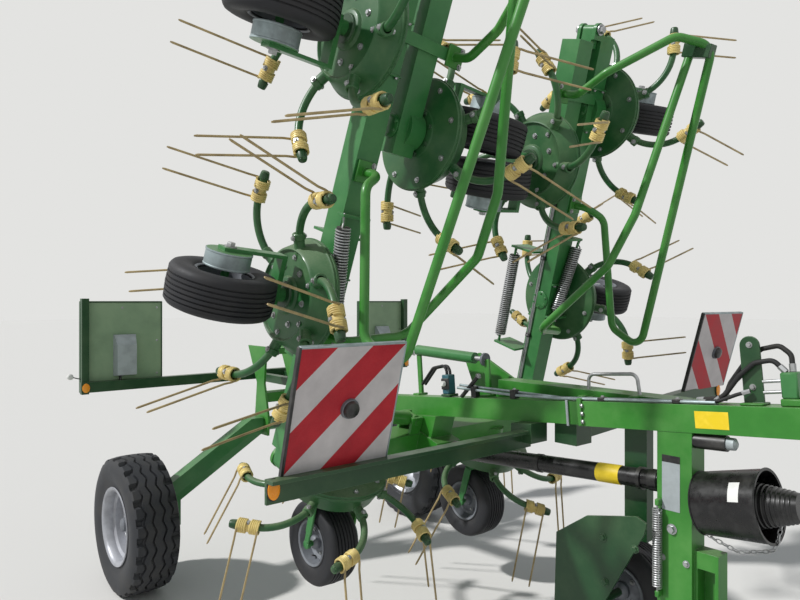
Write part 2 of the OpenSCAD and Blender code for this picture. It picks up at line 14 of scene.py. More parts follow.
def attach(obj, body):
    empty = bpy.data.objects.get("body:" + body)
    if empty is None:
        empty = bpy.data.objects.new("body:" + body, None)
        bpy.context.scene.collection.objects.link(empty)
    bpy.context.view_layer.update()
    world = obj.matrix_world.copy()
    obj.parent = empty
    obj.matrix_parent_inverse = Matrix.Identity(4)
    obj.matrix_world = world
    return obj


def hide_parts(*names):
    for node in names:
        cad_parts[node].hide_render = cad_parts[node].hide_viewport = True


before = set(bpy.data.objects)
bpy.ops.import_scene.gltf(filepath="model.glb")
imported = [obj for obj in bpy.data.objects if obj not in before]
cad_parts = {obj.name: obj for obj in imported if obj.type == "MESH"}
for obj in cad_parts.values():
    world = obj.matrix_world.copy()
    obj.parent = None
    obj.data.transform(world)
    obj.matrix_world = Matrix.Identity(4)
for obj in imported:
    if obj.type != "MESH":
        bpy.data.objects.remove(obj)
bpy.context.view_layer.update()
LOG = logging.getLogger("hay_tedder")

Colour = tuple[float, float, float, float]
Point = Sequence[float]


def srgb(red: int, green: int, blue: int) -> Colour:
    """Turn a screen colour into the linear colour that shaders use.

    Args:
        red: Red from 0 to 255.
        green: Green from 0 to 255.
        blue: Blue from 0 to 255.

    Returns:
        Linear red, green, blue and an alpha of one.
    """
    def linear(value: int) -> float:
        """Linear share of one channel."""
        share = value / 255
        return share / 12.92 if share <= 0.04045 else ((share + 0.055) / 1.055) ** 2.4

    return (linear(red), linear(green), linear(blue), 1.0)


class Side(Enum):
    """The two sides of the machine, with the sign of X."""

    RIGHT = -1
    LEFT = 1

    @property
    def letter(self) -> str:
        """Letter of the side in node names."""
        return "r" if self is Side.RIGHT else "l"

    @property
    def word(self) -> str:
        """Word of the side in node names."""
        return "right" if self is Side.RIGHT else "left"


# Node trees

class Tree:
    """Short calls for building one node tree."""

    def __init__(self, tree: bpy.types.NodeTree) -> None:
        """Keep the tree that the nodes go into.

        Args:
            tree: A material's tree or a node group.
        """
        self.tree = tree

    def node(self, kind: str, settings: Optional[dict] = None, **inputs: object) -> bpy.types.Node:
        """Add a node and set its plain values.

        Args:
            kind: Blender's name of the node type.
            settings: Attributes of the node itself.
            inputs: Input names, with _ for a space, and their values or the sockets that feed them.

        Returns:
            The new node.
        """
        made = self.tree.nodes.new(kind)
        for name, value in (settings or {}).items():
            setattr(made, name, value)
        for name, value in inputs.items():
            self.feed(made.inputs[name.replace("_", " ")], value)
        return made

    def feed(self, socket: bpy.types.NodeSocket, value: object) -> None:
        """Link a socket to an input, or set the input's value.

        Args:
            socket: The input.
            value: A socket to link from, or a plain value.
        """
        if isinstance(value, bpy.types.NodeSocket):
            self.tree.links.new(value, socket)
        else:
            socket.default_value = value

    def maths(self, operation: str, first: object, second: object = 0.0,
              clamp: bool = False) -> bpy.types.NodeSocket:
        """Add a math node.

        Args:
            operation: Blender's name of the operation.
            first: First value or socket.
            second: Second value or socket.
            clamp: Whether the result is kept between zero and one.

        Returns:
            The result socket.
        """
        made = self.tree.nodes.new("ShaderNodeMath")
        made.operation = operation
        made.use_clamp = clamp
        self.feed(made.inputs[0], first)
        self.feed(made.inputs[1], second)
        return made.outputs[0]

    def mix(self, share: object, first: object, second: object) -> bpy.types.NodeSocket:
        """Mix two colours.

        Args:
            share: Share of the second colour, as a value or socket.
            first: First colour or socket.
            second: Second colour or socket.

        Returns:
            The mixed colour socket.
        """
        made = self.tree.nodes.new("ShaderNodeMix")
        made.data_type = "RGBA"
        self.feed(made.inputs["Factor"], share)
        self.feed(made.inputs[6], first)
        self.feed(made.inputs[7], second)
        return made.outputs[2]

    def ramp(self, value: object, low: float, high: float) -> bpy.types.NodeSocket:
        """Stretch a value so that low gives zero and high gives one.

        Args:
            value: The value socket.
            low: Value that gives zero.
            high: Value that gives one.

        Returns:
            The stretched value, kept between zero and one.
        """
        made = self.node("ShaderNodeMapRange", Value=value, From_Min=low, From_Max=high)
        return made.outputs[0]


class EffectGroups:
    """The shader node groups that the finishes share, each built once."""

    built: dict[str, bpy.types.NodeTree] = {}

    @classmethod
    def surface_age(cls) -> bpy.types.NodeTree:
        """Group that gives patches, specks and settled dust over a surface.

        Returns:
            The node group.
        """
        if "surface_age" in cls.built:
            return cls.built["surface_age"]
        group = bpy.data.node_groups.new("surface_age", "ShaderNodeTree")
        face = group.interface
        for name, value in (("Patch Scale", 6.0), ("Speck Scale", 160.0), ("Dust", 0.3)):
            given_socket = face.new_socket(name=name, in_out="INPUT", socket_type="NodeSocketFloat")
            given_socket.default_value = value
        for name in ("Patches", "Specks", "Dust"):
            face.new_socket(name=name, in_out="OUTPUT", socket_type="NodeSocketFloat")
        tree = Tree(group)
        given = group.nodes.new("NodeGroupInput")
        result = group.nodes.new("NodeGroupOutput")
        place = tree.node("ShaderNodeTexCoord").outputs["Object"]
        patches = tree.node("ShaderNodeTexNoise", Vector=place, Scale=given.outputs["Patch Scale"],
                            Detail=5.0, Roughness=0.62)
        specks = tree.node("ShaderNodeTexNoise", Vector=place, Scale=given.outputs["Speck Scale"],
                           Detail=3.0, Roughness=0.7)
        geometry = tree.node("ShaderNodeNewGeometry")
        up = tree.node("ShaderNodeSeparateXYZ", Vector=geometry.outputs["Normal"]).outputs["Z"]
        flat = tree.ramp(up, 0.35, 0.95)
        drift = tree.ramp(patches.outputs[0], 0.42, 0.68)
        grit = tree.ramp(specks.outputs[0], 0.35, 0.7)
        settled = tree.maths("MULTIPLY", flat, tree.maths("ADD", tree.maths("MULTIPLY", grit, 0.6), 0.3))
        spread = tree.maths("ADD", settled, tree.maths("MULTIPLY", drift, 0.35))
        tree.feed(result.inputs["Patches"], tree.ramp(patches.outputs[0], 0.3, 0.7))
        tree.feed(result.inputs["Specks"], specks.outputs[0])
        tree.feed(result.inputs["Dust"], tree.maths("MULTIPLY", spread, given.outputs["Dust"], clamp=True))
        cls.built["surface_age"] = group
        return group

    @classmethod
    def rounded_edges(cls) -> bpy.types.NodeTree:
        """Group that gives a softly rounded normal and a mask of worn edges.

        Returns:
            The node group.
        """
        if "rounded_edges" in cls.built:
            return cls.built["rounded_edges"]
        group = bpy.data.node_groups.new("rounded_edges", "ShaderNodeTree")
        face = group.interface
        face.new_socket(name="Radius", in_out="INPUT", socket_type="NodeSocketFloat").default_value = 0.003
        face.new_socket(name="Normal", in_out="OUTPUT", socket_type="NodeSocketVector")
        face.new_socket(name="Edge", in_out="OUTPUT", socket_type="NodeSocketFloat")
        tree = Tree(group)
        given = group.nodes.new("NodeGroupInput")
        result = group.nodes.new("NodeGroupOutput")
        bevel = tree.node("ShaderNodeBevel", {"samples": 4}, Radius=given.outputs["Radius"])
        geometry = tree.node("ShaderNodeNewGeometry")
        dot = tree.node("ShaderNodeVectorMath", {"operation": "DOT_PRODUCT"})
        tree.feed(dot.inputs[0], bevel.outputs[0])
        tree.feed(dot.inputs[1], geometry.outputs["Normal"])
        tree.feed(result.inputs["Normal"], bevel.outputs[0])
        tree.feed(result.inputs["Edge"], tree.ramp(dot.outputs["Value"], 0.985, 0.86))
        cls.built["rounded_edges"] = group
        return group


# Finishes

@dataclass(frozen=True)
class Finish:
    """A finish with the title of its material, which is built once."""

    title: str
    made: ClassVar[dict[str, bpy.types.Material]] = {}

    def dress(self, tree: Tree, shader: bpy.types.Node) -> None:
        """Add the finish's own nodes."""
        raise NotImplementedError

    def material(self) -> bpy.types.Material:
        """Give the finish's material, building it on the first call.

        Returns:
            The Blender material.
        """
        if self.title in Finish.made:
            return Finish.made[self.title]
        material = bpy.data.materials.new(self.title)
        material.use_nodes = True
        shader = material.node_tree.nodes["Principled BSDF"]
        self.dress(Tree(material.node_tree), shader)
        Finish.made[self.title] = material
        return material

    @staticmethod
    def age(tree: Tree, patch_scale: float, speck_scale: float, dust: float) -> bpy.types.Node:
        """Place the shared ageing group.

        Args:
            tree: The material's tree.
            patch_scale: Scale of the large patches.
            speck_scale: Scale of the fine specks.
            dust: Strength of the dust.

        Returns:
            The group node.
        """
        return tree.node("ShaderNodeGroup", {"node_tree": EffectGroups.surface_age()},
                         Patch_Scale=patch_scale, Speck_Scale=speck_scale, Dust=dust)


@dataclass(frozen=True)
class Paint(Finish):
    """Sprayed machine paint with dust, small chips at the edges and a slightly uneven sheen."""

    colour: Colour
    worn: Colour = srgb(120, 170, 120)
    dust: float = 0.35
    gloss: float = 0.32
    edge: float = 0.003

    def dress(self, tree: Tree, shader: bpy.types.Node) -> None:
        """Add the paint's nodes.

        Args:
            tree: The material's tree.
            shader: The Principled shader.
        """
        age = self.age(tree, 5.0, 140.0, self.dust)
        edges = tree.node("ShaderNodeGroup", {"node_tree": EffectGroups.rounded_edges()}, Radius=self.edge)
        deep = tuple(c * 0.72 for c in self.colour[:3]) + (1.0,)
        body = tree.mix(age.outputs["Patches"], deep, self.colour)
        chipped = tree.maths("MULTIPLY", edges.outputs["Edge"], tree.ramp(age.outputs["Specks"], 0.42, 0.6))
        worn = tree.mix(tree.maths("MULTIPLY", chipped, 0.6), body, self.worn)
        dusty = tree.mix(age.outputs["Dust"], worn, srgb(142, 140, 116))
        tree.feed(shader.inputs["Base Color"], dusty)
        rough = tree.maths("ADD", tree.maths("MULTIPLY", age.outputs["Patches"], 0.12), self.gloss)
        rough = tree.maths("ADD", rough, tree.maths("MULTIPLY", age.outputs["Dust"], 0.45), clamp=True)
        tree.feed(shader.inputs["Roughness"], rough)
        shader.inputs["Specular IOR Level"].default_value = 0.38
        shader.inputs["Coat Weight"].default_value = 0.14
        shader.inputs["Coat Roughness"].default_value = 0.16
        bump = tree.node("ShaderNodeBump", Strength=0.10, Distance=0.002, Height=age.outputs["Specks"],
                         Normal=edges.outputs["Normal"])
        tree.feed(shader.inputs["Normal"], bump.outputs[0])


@dataclass(frozen=True)
class BareMetal(Finish):
    """Plated, galvanised or blank metal with stains."""

    colour: Colour
    stain: Colour
    rough: float = 0.42
    metallic: float = 0.85
    stains: float = 0.6
    grain: float = 90.0

    def dress(self, tree: Tree, shader: bpy.types.Node) -> None:
        """Add the metal's nodes.

        Args:
            tree: The material's tree.
            shader: The Principled shader.
        """
        age = self.age(tree, 14.0, self.grain, 0.25)
        stained = tree.maths("MULTIPLY", tree.ramp(age.outputs["Patches"], 0.25, 0.95), self.stains)
        tree.feed(shader.inputs["Base Color"], tree.mix(stained, self.colour, self.stain))
        tree.feed(shader.inputs["Roughness"],
                  tree.maths("ADD", tree.maths("MULTIPLY", stained, 0.35), self.rough, clamp=True))
        dull = tree.maths("MULTIPLY", stained, 0.5)
        tree.feed(shader.inputs["Metallic"], tree.maths("SUBTRACT", self.metallic, dull, clamp=True))
        bump = tree.node("ShaderNodeBump", Strength=0.12, Distance=0.001, Height=age.outputs["Specks"])
        tree.feed(shader.inputs["Normal"], bump.outputs[0])


@dataclass(frozen=True)
class Rubber(Finish):
    """Tyre rubber, grey with dried earth in places."""

    colour: Colour = srgb(38, 39, 42)
    earth: Colour = srgb(96, 88, 76)
    soil: float = 0.4

    def dress(self, tree: Tree, shader: bpy.types.Node) -> None:
        """Add the rubber's nodes.

        Args:
            tree: The material's tree.
            shader: The Principled shader.
        """
        age = self.age(tree, 9.0, 220.0, 0.8)
        soiled = tree.maths("MULTIPLY", tree.ramp(age.outputs["Patches"], 0.35, 1.0), self.soil)
        tree.feed(shader.inputs["Base Color"], tree.mix(soiled, self.colour, self.earth))
        tree.feed(shader.inputs["Roughness"],
                  tree.maths("ADD", tree.maths("MULTIPLY", age.outputs["Patches"], 0.2), 0.55))
        shader.inputs["Specular IOR Level"].default_value = 0.4
        bump = tree.node("ShaderNodeBump", Strength=0.35, Distance=0.001, Height=age.outputs["Specks"])
        tree.feed(shader.inputs["Normal"], bump.outputs[0])


@dataclass(frozen=True)
class Plastic(Finish):
    """Moulded plastic or reflector, smooth with light scuffs."""

    colour: Colour
    rough: float = 0.35
    dust: float = 0.3

    def dress(self, tree: Tree, shader: bpy.types.Node) -> None:
        """Add the plastic's nodes.

        Args:
            tree: The material's tree.
            shader: The Principled shader.
        """
        age = self.age(tree, 18.0, 260.0, self.dust)
        pale = tuple(min(1.0, c * 1.25 + 0.015) for c in self.colour[:3]) + (1.0,)
        scuffed = tree.mix(tree.ramp(age.outputs["Patches"], 0.45, 1.0), self.colour, pale)
        tree.feed(shader.inputs["Base Color"], tree.mix(age.outputs["Dust"], scuffed, srgb(120, 116, 104)))
        tree.feed(shader.inputs["Roughness"],
                  tree.maths("ADD", tree.maths("MULTIPLY", age.outputs["Patches"], 0.2), self.rough))
        bump = tree.node("ShaderNodeBump", Strength=0.08, Distance=0.001, Height=age.outputs["Specks"])
        tree.feed(shader.inputs["Normal"], bump.outputs[0])


@dataclass(frozen=True)
class StripedSheet(Finish):
    """Reflective sheet with slanted red and white stripes, in the board's own coordinates."""

    period: float = 0.2
    shift: float = 0.0
    slope: float = 1.0

    def dress(self, tree: Tree, shader: bpy.types.Node) -> None:
        """Add the stripe nodes.

        Args:
            tree: The material's tree.
            shader: The Principled shader.
        """
        age = self.age(tree, 8.0, 300.0, 0.35)
        place = tree.node("ShaderNodeTexCoord").outputs["Object"]
        parts = tree.node("ShaderNodeSeparateXYZ", Vector=place)
        run = tree.maths("SUBTRACT", parts.outputs["Z"],
                         tree.maths("MULTIPLY", parts.outputs["X"], self.slope))
        turned = tree.maths("ADD", tree.maths("DIVIDE", run, self.period), self.shift)
        band = tree.maths("FRACT", turned)
        stripe = tree.maths("GREATER_THAN", band, 0.5)
        cell = tree.node("ShaderNodeTexVoronoi", {"feature": "F1"}, Vector=place, Scale=420.0)
        sparkle = tree.maths("MULTIPLY", tree.ramp(cell.outputs["Distance"], 0.0, 0.8), 0.06)
        red = tree.mix(age.outputs["Patches"], srgb(158, 16, 34), srgb(188, 24, 42))
        white = tree.mix(age.outputs["Patches"], srgb(180, 174, 174), srgb(206, 200, 200))
        striped = tree.mix(stripe, white, red)
        grey = tree.mix(tree.maths("ADD", sparkle, tree.maths("MULTIPLY", age.outputs["Dust"], 0.25)),
                        striped, srgb(150, 142, 134))
        tree.feed(shader.inputs["Base Color"], grey)
        tree.feed(shader.inputs["Roughness"],
                  tree.maths("ADD", tree.maths("MULTIPLY", age.outputs["Patches"], 0.25), 0.35))
        shader.inputs["Specular IOR Level"].default_value = 0.22
        bump = tree.node("ShaderNodeBump", Strength=0.06, Distance=0.0005, Height=cell.outputs["Distance"])
        tree.feed(shader.inputs["Normal"], bump.outputs[0])


@dataclass(frozen=True)
class Palette:
    """Every finish of the machine."""

    green: Finish = Paint("paint_green", srgb(54, 134, 44))
    booms: Finish = Paint("paint_green_booms", srgb(50, 122, 62), dust=0.25)
    rotors: Finish = Paint("paint_green_rotors", srgb(34, 94, 46), dust=0.45, gloss=0.38, edge=0.002)
    dark_green: Finish = Paint("paint_dark_green", srgb(28, 72, 38), dust=0.22)
    springs: Finish = BareMetal("spring_ochre", srgb(222, 200, 128), srgb(150, 122, 62), rough=0.42,
                                metallic=0.15, stains=0.55)
    tines: Finish = BareMetal("tine_wire", srgb(176, 156, 112), srgb(112, 94, 64), rough=0.45, metallic=0.3)
    steel: Finish = BareMetal("plated_steel", srgb(176, 178, 180), srgb(116, 112, 106), rough=0.34)
    galvanised: Finish = BareMetal("galvanised_steel", srgb(158, 172, 174), srgb(112, 118, 118),
                                   rough=0.45, metallic=0.7, grain=40.0)
    rim: Finish = BareMetal("rim_silver", srgb(168, 170, 176), srgb(120, 120, 122), rough=0.4,
                            metallic=0.55, stains=0.5)
    rim_grey: Finish = BareMetal("rim_grey", srgb(118, 122, 128), srgb(74, 74, 78), rough=0.5, metallic=0.4)
    tyre: Finish = Rubber("tyre_small", srgb(30, 31, 35), srgb(66, 62, 58), soil=0.25)
    road_tyre: Finish = Rubber("tyre_road", srgb(38, 40, 44), srgb(74, 72, 68), soil=0.38)
    black: Finish = Plastic("black_plastic", srgb(20, 20, 22), rough=0.3)
    bell: Finish = Plastic("bell_black", srgb(13, 13, 15), rough=0.2, dust=0.06)
    hose: Finish = Rubber("hose_rubber", srgb(22, 23, 24), soil=0.15)
    amber: Finish = Plastic("amber_reflector", srgb(246, 150, 12), rough=0.18)
    yellow: Finish = Plastic("yellow_plate", srgb(226, 196, 20), rough=0.4)
    white: Finish = Plastic("white_cover", srgb(214, 214, 210), rough=0.35)
    # painted shade: near-black filler that darkens the inside of the wing springs
    shadow: Finish = Plastic("spring_painted_shade", srgb(26, 28, 27), rough=0.7)
    lamp: Finish = Plastic("lamp_black", srgb(28, 26, 28), rough=0.22)
    plate: Finish = BareMetal("blank_plate", srgb(168, 176, 178), srgb(132, 138, 138), rough=0.5,
                              metallic=0.3)
    sheet_back: Finish = Paint("board_back", srgb(146, 174, 138), dust=0.5, gloss=0.4)
    valve: Finish = Paint("valve_blue", srgb(36, 96, 110), dust=0.4)
    near_board: Finish = StripedSheet("striped_near", period=0.2828, shift=0.5, slope=1.0)
    far_board: Finish = StripedSheet("striped_far", period=0.2828, shift=0.465, slope=-1.0)


FINISH = Palette()


# Meshes

SHARP_DEGREES = 38


class Shape:
    """Collects the vertices and faces of one piece, each face with the finish it takes."""

    def __init__(self) -> None:
        """Start empty."""
        self.points: list[Vector] = []
        self.faces: list[tuple[int, ...]] = []
        self.kinds: list[int] = []
        self.smooth: list[bool] = []
        self.finishes: list[Finish] = []

    def number(self, finish: Finish) -> int:
        """Give the slot number of a finish, adding it when it is new."""
        if finish not in self.finishes:
            self.finishes.append(finish)
        return self.finishes.index(finish)

    def add(self, points: Iterable[Point], faces: Iterable[Sequence[int]], finish: Finish,
            place: Matrix = Matrix(), smooth: bool = True) -> None:
        """Add points and faces.

        Args:
            points: Points in local coordinates.
            faces: Faces as numbers of those points.
            finish: What the faces are made of.
            place: Where the local coordinates stand.
            smooth: Whether the faces are shaded smooth.
        """
        start = len(self.points)
        slot = self.number(finish)
        flipped = place.to_3x3().determinant() < 0
        self.points.extend(place @ Vector(p) for p in points)
        for face in faces:
            order = tuple(start + i for i in face)
            self.faces.append(order[::-1] if flipped else order)
            self.kinds.append(slot)
            self.smooth.append(smooth)

    def rings(self, rings: Sequence[Sequence[Point]], finish: Finish, place: Matrix = Matrix(),
              smooth: bool = True, caps: bool = True, joined: bool = False) -> None:
        """Skin a row of rings that have the same number of points.

        Args:
            rings: The rings, each a closed loop of points.
            finish: What the skin is made of.
            place: Where the local coordinates stand.
            smooth: Whether the skin is shaded smooth.
            caps: Whether the two ends are closed.
            joined: Whether the last ring meets the first.
        """
        sides = len(rings[0])
        points = [p for ring in rings for p in ring]
        faces: list[Sequence[int]] = []
        count = len(rings)
        for i in range(count if joined else count - 1):
            a, b = i * sides, ((i + 1) % count) * sides
            faces += [(a + k, a + (k + 1) % sides, b + (k + 1) % sides, b + k) for k in range(sides)]
        self.add(points, faces, finish, place, smooth)
        if caps and not joined:
            ends = [tuple(range(sides))[::-1], tuple(range(sides))]
            self.add(rings[0], [ends[0]], finish, place, False)
            self.add(rings[-1], [ends[1]], finish, place, False)

    def lathe(self, profile: Sequence[tuple[float, float]], finish: Finish, place: Matrix = Matrix(),
              sides: int = 48, closed: bool = True) -> None:
        """Turn a profile round the local Z axis.

        Args:
            profile: Radius and height of each point, up the outside and back down the inside.
            finish: What it is made of.
            place: Where the axis stands.
            sides: Number of steps round the axis.
            closed: Whether the last point meets the first.
        """
        rings = []
        for k in range(sides):
            turn = 2 * math.pi * k / sides
            rings.append([(r * math.cos(turn), r * math.sin(turn), z) for r, z in profile])
        steps = len(profile)
        points = [p for ring in rings for p in ring]
        faces = []
        for k in range(sides):
            a, b = k * steps, ((k + 1) % sides) * steps
            for i in range(steps if closed else steps - 1):
                j = (i + 1) % steps
                faces.append((a + i, b + i, b + j, a + j))
        self.add(points, faces, finish, place)

    def tube(self, path: Sequence[Point], radius: float | Sequence[float], finish: Finish,
             place: Matrix = Matrix(), sides: int = 12) -> None:
        """Sweep a circle along a path without twist.

        Args:
            path: The points of the middle line.
            radius: One radius, or one for each point.
            finish: What it is made of.
            place: Where the local coordinates stand.
            sides: Number of sides of the circle.
        """
        line = [Vector(p) for p in path]
        radii = [radius] * len(line) if isinstance(radius, (int, float)) else list(radius)
        first = (line[1] - line[0]).normalized()
        across = first.orthogonal().normalized()
        rings = []
        for i, point in enumerate(line):
            ahead = (line[min(i + 1, len(line) - 1)] - line[max(i - 1, 0)]).normalized()
            across = (across - ahead * across.dot(ahead)).normalized()
            other = ahead.cross(across)
            rings.append([point + radii[i] * (math.cos(a) * across + math.sin(a) * other)
                          for a in (2 * math.pi * k / sides for k in range(sides))])
        self.rings(rings, finish, place)

    def block(self, low: Point, high: Point, finish: Finish, place: Matrix = Matrix(),
              bevel: float = 0.003) -> None:
        """Add a box with chamfered edges.

        Args:
            low: Lowest corner.
            high: Highest corner.
            finish: What it is made of.
            place: Where the local coordinates stand.
            bevel: Width of the chamfer.
        """
        def corner(axis: int, along: int, first: int, second: int) -> tuple[int, ...]:
            """Corner with one sign along an axis and two signs along the others."""
            signs = [first, second]
            signs.insert(axis, along)
            return tuple(signs)

        points: list[Vector] = []
        index: dict[tuple[int, ...], int] = {}
        corners = list(product((0, 1), repeat=3))
        for signs in corners:
            for axis in range(3):
                inward = [0.0 if k == axis else bevel * (1 - 2 * signs[k]) for k in range(3)]
                index[(*signs, axis)] = len(points)
                points.append(Vector([(low, high)[signs[k]][k] + inward[k] for k in range(3)]))
        centre = (Vector(low) + Vector(high)) / 2
        faces: list[list[int]] = []
        for axis in range(3):
            for along in (0, 1):
                loop = [corner(axis, along, *pair) for pair in ((0, 0), (1, 0), (1, 1), (0, 1))]
                faces.append([index[(*signs, axis)] for signs in loop])
            a, b = [k for k in range(3) if k != axis]
            for first, second in product((0, 1), repeat=2):
                near, far = corner(axis, 0, first, second), corner(axis, 1, first, second)
                faces.append([index[(*near, a)], index[(*far, a)], index[(*far, b)], index[(*near, b)]])
        faces += [[index[(*signs, k)] for k in range(3)] for signs in corners]
        turned = []
        for face in faces:
            middle = sum((points[i] for i in face), Vector()) / len(face)
            normal = (points[face[1]] - points[face[0]]).cross(points[face[2]] - points[face[1]])
            turned.append(face if normal.dot(middle - centre) > 0 else face[::-1])
        self.add(points, turned, finish, place, False)

    def slab(self, outline: Sequence[tuple[float, float]], thick: float, finish: Finish,
             place: Matrix = Matrix()) -> None:
        """Add a flat plate from its outline in the local XY plane, with softened rims.

        Args:
            outline: Corner points, anticlockwise.
            thick: Thickness along local Z.
            finish: What it is made of.
            place: Where the local coordinates stand.
        """
        bevel = 0.0015
        middle = Vector((sum(p[0] for p in outline) / len(outline),
                         sum(p[1] for p in outline) / len(outline), 0))
        inner = []
        for x, y in outline:
            inward = (middle - Vector((x, y, 0))).normalized() * bevel
            inner.append((x + inward.x, y + inward.y))
        levels = [(inner, 0.0), (outline, bevel), (outline, thick - bevel), (inner, thick)]
        self.rings([[(x, y, z) for x, y in points] for points, z in levels], finish, place, False)

    def bolt(self, at: Point, along: Point, finish: Finish, across: float = 0.019,
             place: Matrix = Matrix()) -> None:
        """Add a hexagon bolt head on a washer.

        Args:
            at: Middle of the seat.
            along: Direction that the head stands out.
            finish: What it is made of.
            across: Width across the flats.
            place: Where the local coordinates stand.
        """
        axis = Vector(along).normalized()
        here = place @ Matrix.Translation(Vector(at)) @ axis.to_track_quat("Z", "Y").to_matrix().to_4x4()
        r = across / math.sqrt(3)
        self.lathe([(0.0, 0.0), (across * 0.8, 0.0), (across * 0.8, across * 0.12), (0.0, across * 0.12)],
                   finish, here, 20, False)
        rings = []
        for radius, z in ((r, across * 0.1), (r, across * 0.5), (r * 0.86, across * 0.6)):
            turns = [math.pi * k / 3 for k in range(6)]
            rings.append([(radius * math.cos(turn), radius * math.sin(turn), z) for turn in turns])
        self.rings(rings, finish, here, False)

    def bolt_ring(self, count: int, radius: float, height: float, finish: Finish, across: float,
                  place: Matrix = Matrix(), first: float = 0.0, way: int = 1) -> None:
        """Add evenly spaced bolt heads round the local Z axis.

        Args:
            count: Number of bolts.
            radius: Radius of the circle they stand on.
            height: Height of their seats.
            finish: What they are made of.
            across: Width across the flats.
            place: Where the axis stands.
            first: Turn of the first bolt, in degrees.
            way: Whether they point up with 1, or down with -1.
        """
        for k in range(count):
            turn = math.radians(first + 360 * k / count)
            at = (radius * math.cos(turn), radius * math.sin(turn), height)
            self.bolt(at, (0, 0, way), finish, across, place)

    def gearbox_lid(self, finish: Finish, place: Matrix, flat: float = 0.0) -> None:
        """Add a round gearbox lid with six bolts.

        Args:
            finish: What it is made of.
            place: Middle of its seat.
            flat: Radius of its level middle.
        """
        level = [(flat, 0.008)] if flat else []
        profile = [(0.0, 0.0), (0.050, 0.0), (0.051, 0.004), (0.047, 0.007), *level, (0.0, 0.008)]
        self.lathe(profile, finish, place, 40, False)
        self.bolt_ring(6, 0.040, 0.006, finish, 0.011, place)

    def coil(self, start: Point, end: Point, radius: float, wire: float, turns: float, finish: Finish,
             place: Matrix = Matrix(), steps: int = 14, sides: int = 7) -> None:
        """Wind a helical spring between two points.

        Args:
            start: One end of the axis.
            end: Other end of the axis.
            radius: Radius of the middle of the wire.
            wire: Radius of the wire.
            turns: Number of turns.
            finish: What it is made of.
            place: Where the local coordinates stand.
            steps: Steps in each turn.
            sides: Sides of the wire.
        """
        a, b = Vector(start), Vector(end)
        along = (b - a).normalized()
        u = along.orthogonal().normalized()
        v = along.cross(u)
        count = int(turns * steps)
        path = []
        for k in range(count + 1):
            turn = 2 * math.pi * k / steps
            path.append(a + (b - a) * (k / count) + radius * (math.cos(turn) * u + math.sin(turn) * v))
        self.tube(path, wire, finish, place, sides)

    def build(self, name: str) -> bpy.types.Object:
        """Make the Blender object.

        Args:
            name: Name of the piece.

        Returns:
            The object, at the origin.
        """
        mesh = bpy.data.meshes.new(name)
        mesh.from_pydata([tuple(p) for p in self.points], [], self.faces)
        for finish in self.finishes:
            mesh.materials.append(finish.material())
        mesh.polygons.foreach_set("material_index", self.kinds)
        mesh.polygons.foreach_set("use_smooth", self.smooth)
        mesh.update()
        mesh.set_sharp_from_angle(angle=math.radians(SHARP_DEGREES))
        made = bpy.data.objects.new(name, mesh)
        bpy.context.scene.collection.objects.link(made)
        LOG.info("%s: %d faces", name, len(self.faces))
        return made


def rotation(degrees: float, axis: str) -> Matrix:
    """Turn about one of the axes."""
    return Matrix.Rotation(math.radians(degrees), 4, axis)


def bent(points: Sequence[Point], radius: float, step: float = 9.0) -> list[Vector]:
    """Replace each corner of a path by an arc.

    Args:
        points: Corner points of the path.
        radius: Radius of the bends.
        step: Largest angle between two points of a bend, in degrees.

    Returns:
        The points of the bent path.
    """
    line = [Vector(p) for p in points]
    path = [line[0]]
    for i in range(1, len(line) - 1):
        before = (line[i] - line[i - 1]).normalized()
        after = (line[i + 1] - line[i]).normalized()
        turn = before.angle(after)
        inward = (after - before * before.dot(after)).normalized()
        start = line[i] - before * radius * math.tan(turn / 2)
        count = max(1, math.ceil(math.degrees(turn) / step))
        for k in range(count + 1):
            a = turn * k / count
            path.append(start + radius * (math.sin(a) * before + (1 - math.cos(a)) * inward))
    path.append(line[-1])
    return path


def ride(piece: bpy.types.Object, body: str, slot: str, *nodes: str) -> None:
    """Let a piece ride on a body and hide the nodes it stands for.

    Args:
        piece: The piece.
        body: Body that carries it.
        slot: The record's material slot; not used.
        nodes: Nodes that it replaces.
    """
    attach(piece, body)
    if nodes:
        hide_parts(*nodes)


# Places of the gang

